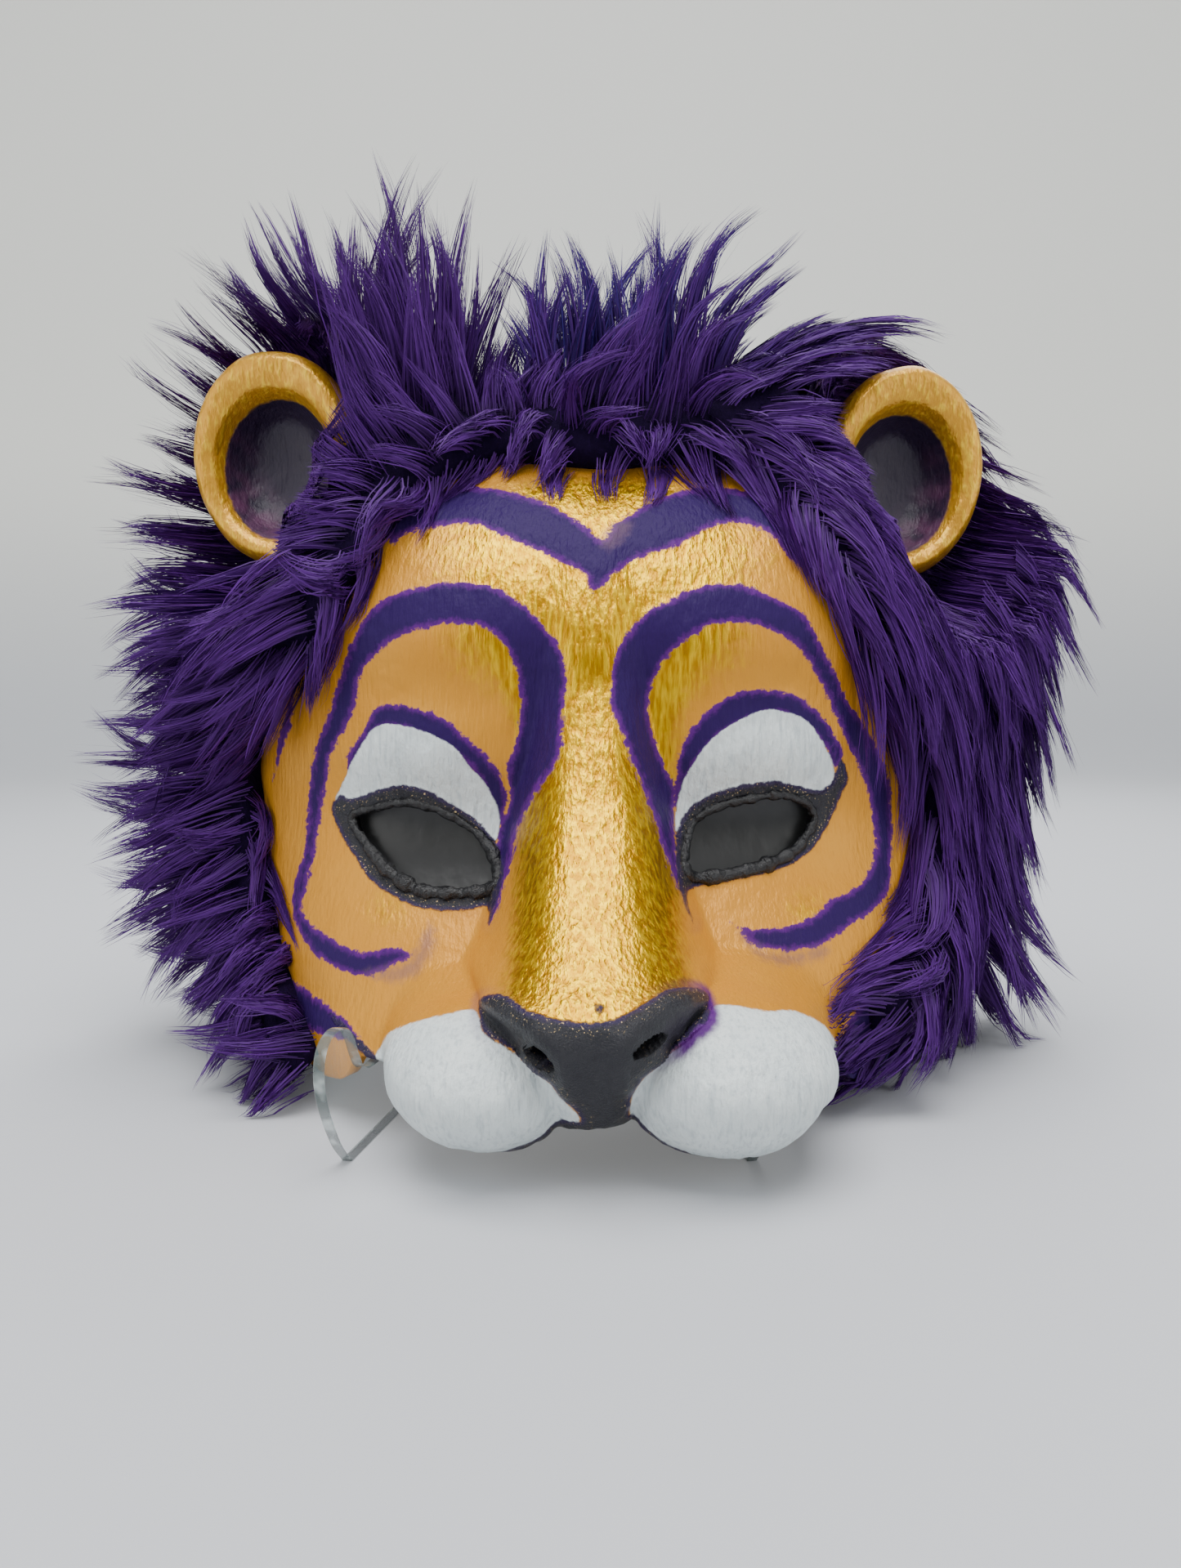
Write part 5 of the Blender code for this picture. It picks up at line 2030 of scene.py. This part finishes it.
@dataclass(frozen=True)
class DisplayStand:
    """Two clear upright plates with hooked fronts, and the bar between them.

    Attributes:
        middle_x, foot_front_y: Middle between the fronts of the plates' feet.
        turn: How far the plates turn in towards the back, in radians.
        gap: Room between a plate and the bar's end.
        chamfer: How far the cut edges are eased.
        bar_back, bar_lift: Where the bar lies along and above the plates' feet.
        hook, back: The plate's outline, back from the front of its foot and up.
    """

    thickness: float = 2.4
    middle_x: float = -10.0
    foot_front_y: float = -40.4
    foot_half_spread: float = 42.0
    turn: float = math.radians(11.0)
    gap: float = 0.35
    chamfer: float = 0.25
    bar_back: float = 78.0
    bar_height: float = 8.0
    bar_lift: float = 3.0
    bar_depth: float = 6.0
    hook: tuple[Pair, ...] = (
        (0.0, 0.0), (-5.0, 5.0), (-9.0, 11.0), (-12.0, 17.0), (-13.0, 22.0), (-12.3, 26.0), (-10.0, 28.5),
        (-6.7, 29.6), (-3.4, 29.3), (-0.2, 28.2), (2.4, 25.6), (4.6, 21.8), (6.8, 18.6), (9.4, 17.0),
        (12.7, 16.5),
    )
    back: tuple[Pair, ...] = (
        (48.0, 16.5), (52.5, 53.0), (64.0, 141.0), (66.0, 144.0), (69.5, 145.0), (73.0, 143.0),
        (75.0, 139.0), (112.0, 6.0), (112.0, 0.0),
    )

    @classmethod
    def lowest_y(cls) -> float:
        """Returns y of the left plate's foremost point in the mask's frame."""
        foremost = min(back for back, _ in cls.hook)
        return cls.foot_front_y + foremost * math.cos(cls.turn) - 0.5 * cls.thickness * math.sin(cls.turn)

    def point(self, side: Side, back: Array, height: Array, off: float) -> Array:
        """Returns points of a plate: back from its foot, up, and off its middle plane."""
        x = self.middle_x + side.value * self.foot_half_spread
        sway = back * math.sin(self.turn) - off * math.cos(self.turn)
        y = self.foot_front_y + back * math.cos(self.turn) + off * math.sin(self.turn)
        return np.stack([x - side.value * sway, y, height], -1)

    def build(self, workshop: Workshop, clear: ClearSheet) -> None:
        """Makes both plates and the bar."""
        outline = np.concatenate([rounded(self.hook, closed=False), np.array(self.back)])
        faces, edges = clear.faces(), clear.edges()
        for side in Side:
            self.build_plate(workshop, faces, edges, side, outline)
        self.build_bar(workshop, faces, edges)

    def build_plate(
        self, workshop: Workshop, faces: Material, edges: Material, side: Side, outline: Array
    ) -> None:
        """Makes one plate with lightly eased edges."""
        ahead = unit(np.roll(outline, -1, axis=0) - outline)
        both = ahead + np.roll(ahead, 1, axis=0)
        inward = unit(np.stack([-both[:, 1], both[:, 0]], -1))
        (x, z), (next_x, next_z) = outline.T, np.roll(outline, -1, axis=0).T
        area = np.sum(x * next_z - next_x * z)
        face = outline + math.copysign(self.chamfer, area) * inward
        half = 0.5 * self.thickness
        rings = [
            self.point(side, edge[:, 0], edge[:, 1], off)
            for edge, off in (
                (face, -half), (outline, self.chamfer - half), (outline, half - self.chamfer), (face, half),
            )
        ]
        count = len(outline)
        quads = grid_quads(len(rings), count, round_rows=True)
        cap = np.arange(count)
        caps = np.array([cap[::-1], (len(rings) - 1) * count + cap])
        points = np.concatenate(rings)
        name, node = f"stand_plate_{side.word}", f"stand_side_{side.word}"
        plate = workshop.piece(name, points, (caps, quads), faces, (node,))
        finish_flat_faces(plate, edges, plain_faces=2)

    def build_bar(self, workshop: Workshop, faces: Material, edges: Material) -> None:
        """Makes the bar, its ends cut to the slant of the plates."""
        off = -0.5 * self.thickness - self.gap
        corners = [
            self.point(side, np.array(self.bar_back + back), np.array(height), off)
            for height in (self.bar_lift, self.bar_lift + self.bar_height)
            for side, back in (
                (Side.LEFT, 0.0), (Side.LEFT, self.bar_depth),
                (Side.RIGHT, self.bar_depth), (Side.RIGHT, 0.0),
            )
        ]
        box = np.array([(1, 5, 6, 2), (3, 7, 4, 0), (0, 1, 2, 3), (7, 6, 5, 4), (0, 4, 5, 1), (2, 6, 7, 3)])
        points, node = np.array(corners), "stand_cross_bar"
        bar = workshop.piece("stand_bar", points, (box,), faces, (node,))
        finish_flat_faces(bar, edges, plain_faces=2)


def finish_flat_faces(obj: Object, edges: Material, plain_faces: int) -> None:
    """Turns a sheet's faces outwards, keeps them flat and dresses the cut edges.

    Args:
        obj: The piece, whose wide faces come first.
        edges: The finish of the others.
        plain_faces: How many wide faces there are.
    """
    mesh = obj.data
    mesh.materials.append(edges)
    index = np.ones(len(mesh.polygons), np.int32)
    index[:plain_faces] = 0
    mesh.polygons.foreach_set("material_index", index)
    bpy.context.view_layer.objects.active = obj
    obj.select_set(True)
    bpy.ops.object.mode_set(mode="EDIT")
    bpy.ops.mesh.select_all(action="SELECT")
    bpy.ops.mesh.normals_make_consistent(inside=False)
    bpy.ops.object.mode_set(mode="OBJECT")
    obj.select_set(False)
    mesh.set_sharp_from_angle(angle=math.radians(30))


# The studio


@dataclass(frozen=True)
class Studio:
    """A pale floor that sweeps up all round, and soft lights.

    Attributes:
        sky_colour, sky_strength: The even light from all round.
        sweep_radius: Radius of the floor's rise into the wall.
        lights: Each light's name, place, aim, side and power in watts.
    """

    floor_colour: Triple = srgb(191, 193, 198)
    wall_colour: Triple = srgb(240, 240, 234)
    sky_colour: Triple = (0.93, 0.96, 1.0)
    sky_strength: float = 0.62
    fan_radius: float = 300.0
    flat_radius: float = 1100.0
    sweep_radius: float = 700.0
    wall_height: float = 1350.0
    sides: int = 96
    lights: tuple[tuple[str, Triple, Triple, float, float], ...] = (
        ("overhead_softbox", (-50, -220, 950), (0, -20, 80), 800, 14),
        ("left_fill", (-750, -500, 350), (0, 0, 90), 600, 2),
        ("right_fill", (750, -450, 400), (0, 0, 90), 600, 2),
        ("back_softbox", (200, 650, 700), (0, 60, 100), 600, 4),
        ("wall_wash", (0, 500, 1500), (0, 1900, 700), 900, 10),
    )

    def build(self) -> None:
        """Makes the floor, the lights and the world."""
        self.build_floor()
        for light in self.lights:
            self.light(*light)
        world = bpy.data.worlds.new("studio")
        world.use_nodes = True
        sky = world.node_tree.nodes["Background"]
        sky.inputs["Color"].default_value = (*self.sky_colour, 1.0)
        sky.inputs["Strength"].default_value = self.sky_strength
        bpy.context.scene.world = world

    def build_floor(self) -> None:
        """Makes the round floor whose edge rises into a wall."""
        curve = [(self.fan_radius, 0.0), (self.flat_radius, 0.0)]
        for turn in 0.5 * math.pi * np.arange(1, 13) / 12:
            rise = self.sweep_radius * (1 - math.cos(turn))
            curve.append((self.flat_radius + self.sweep_radius * math.sin(turn), rise))
        curve.append((curve[-1][0], self.wall_height))
        sides, angle = self.sides, full_turn(self.sides)
        rings = [
            np.stack([radius * np.cos(angle), radius * np.sin(angle), np.full(sides, height)], -1)
            for radius, height in curve
        ]
        points = np.concatenate([np.zeros((1, 3)), *rings])
        rim = np.arange(sides)
        fan = np.stack([np.zeros(sides, int), 1 + rim, 1 + (rim + 1) % sides], -1)
        quads = grid_quads(len(rings), sides, round_rows=True)[:, ::-1] + 1
        r = Recipe("pale_floor")
        height = r.node("ShaderNodeSeparateXYZ")
        r.feed(height.inputs[0], r.place)
        rise = r.step(height.outputs["Z"], 0.0, 0.5)
        r.set(Base_Color=r.mix(rise, self.floor_colour, self.wall_colour), Roughness=0.8)
        floor = Workshop.mesh_object("floor", points * MM, (fan, quads), r.material)

    @staticmethod
    def light(name: str, place: Triple, aim: Triple, size: float, power: float) -> None:
        """Adds a square soft light.

        Args:
            name: Its name.
            place: Where it is, in millimetres.
            aim: What it points at.
            size: Its side.
            power: Its power in watts.
        """
        data = bpy.data.lights.new(name, "AREA")
        data.size = size * MM
        data.energy = power
        lamp = bpy.data.objects.new(name, data)
        lamp.location = np.array(place) * MM
        x, y, z = (np.array(aim) - place) * MM
        lamp.rotation_euler = (math.atan2(math.hypot(x, y), -z), 0, math.atan2(-x, y))
        bpy.context.scene.collection.objects.link(lamp)


def main() -> None:
    """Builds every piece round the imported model."""
    logging.basicConfig(level=logging.INFO, format="%(name)s: %(message)s")
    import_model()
    placement = Placement.from_frame()
    workshop = Workshop(placement)
    camera = PhotoCamera()
    camera.build(placement)
    Studio().build()

    form = FaceForm()
    ears = (
        Ear(Side.LEFT, -88.0, 46.0, 160.0, 24.5, 29.0, 10.0, 12.0, -42.0, 0.52),
        Ear(Side.RIGHT, 84.5, 46.0, 156.0, 23.5, 29.0, 12.0, 12.0, 228.0, 0.55),
    )
    shell = FaceShell(form, PaintedPattern(camera), ears)
    shell.build(workshop, FacePaint().material(), BackPaper().material())
    lacquer, film = Lacquer().material(), DarkFilm().material()
    for side in Side:
        EyeRim(form, side).build(workshop, lacquer)
        eye = BackedFilm(form, f"eye_film_{side.word}", rounded(EYE_OPENINGS[side]), 3.0)
        eye.build(workshop, film, (f"eye_screen_{side.word}",))
        nostril = NOSTRILS[side].outline()
        BackedFilm(form, f"nostril_film_{side.word}", nostril, 1.5, cells=10).build(workshop, film)
    gold = EarPaint().material()
    for ear in ears:
        ear.build(workshop, gold)
    DisplayStand().build(workshop, ClearSheet())
    mane, fur = ManeForm(form), FurFinish()
    mane.build(workshop, ears, fur.backing())
    FurCoat(mane, ears).build(workshop, fur.strands())


if __name__ == "__main__":
    main()
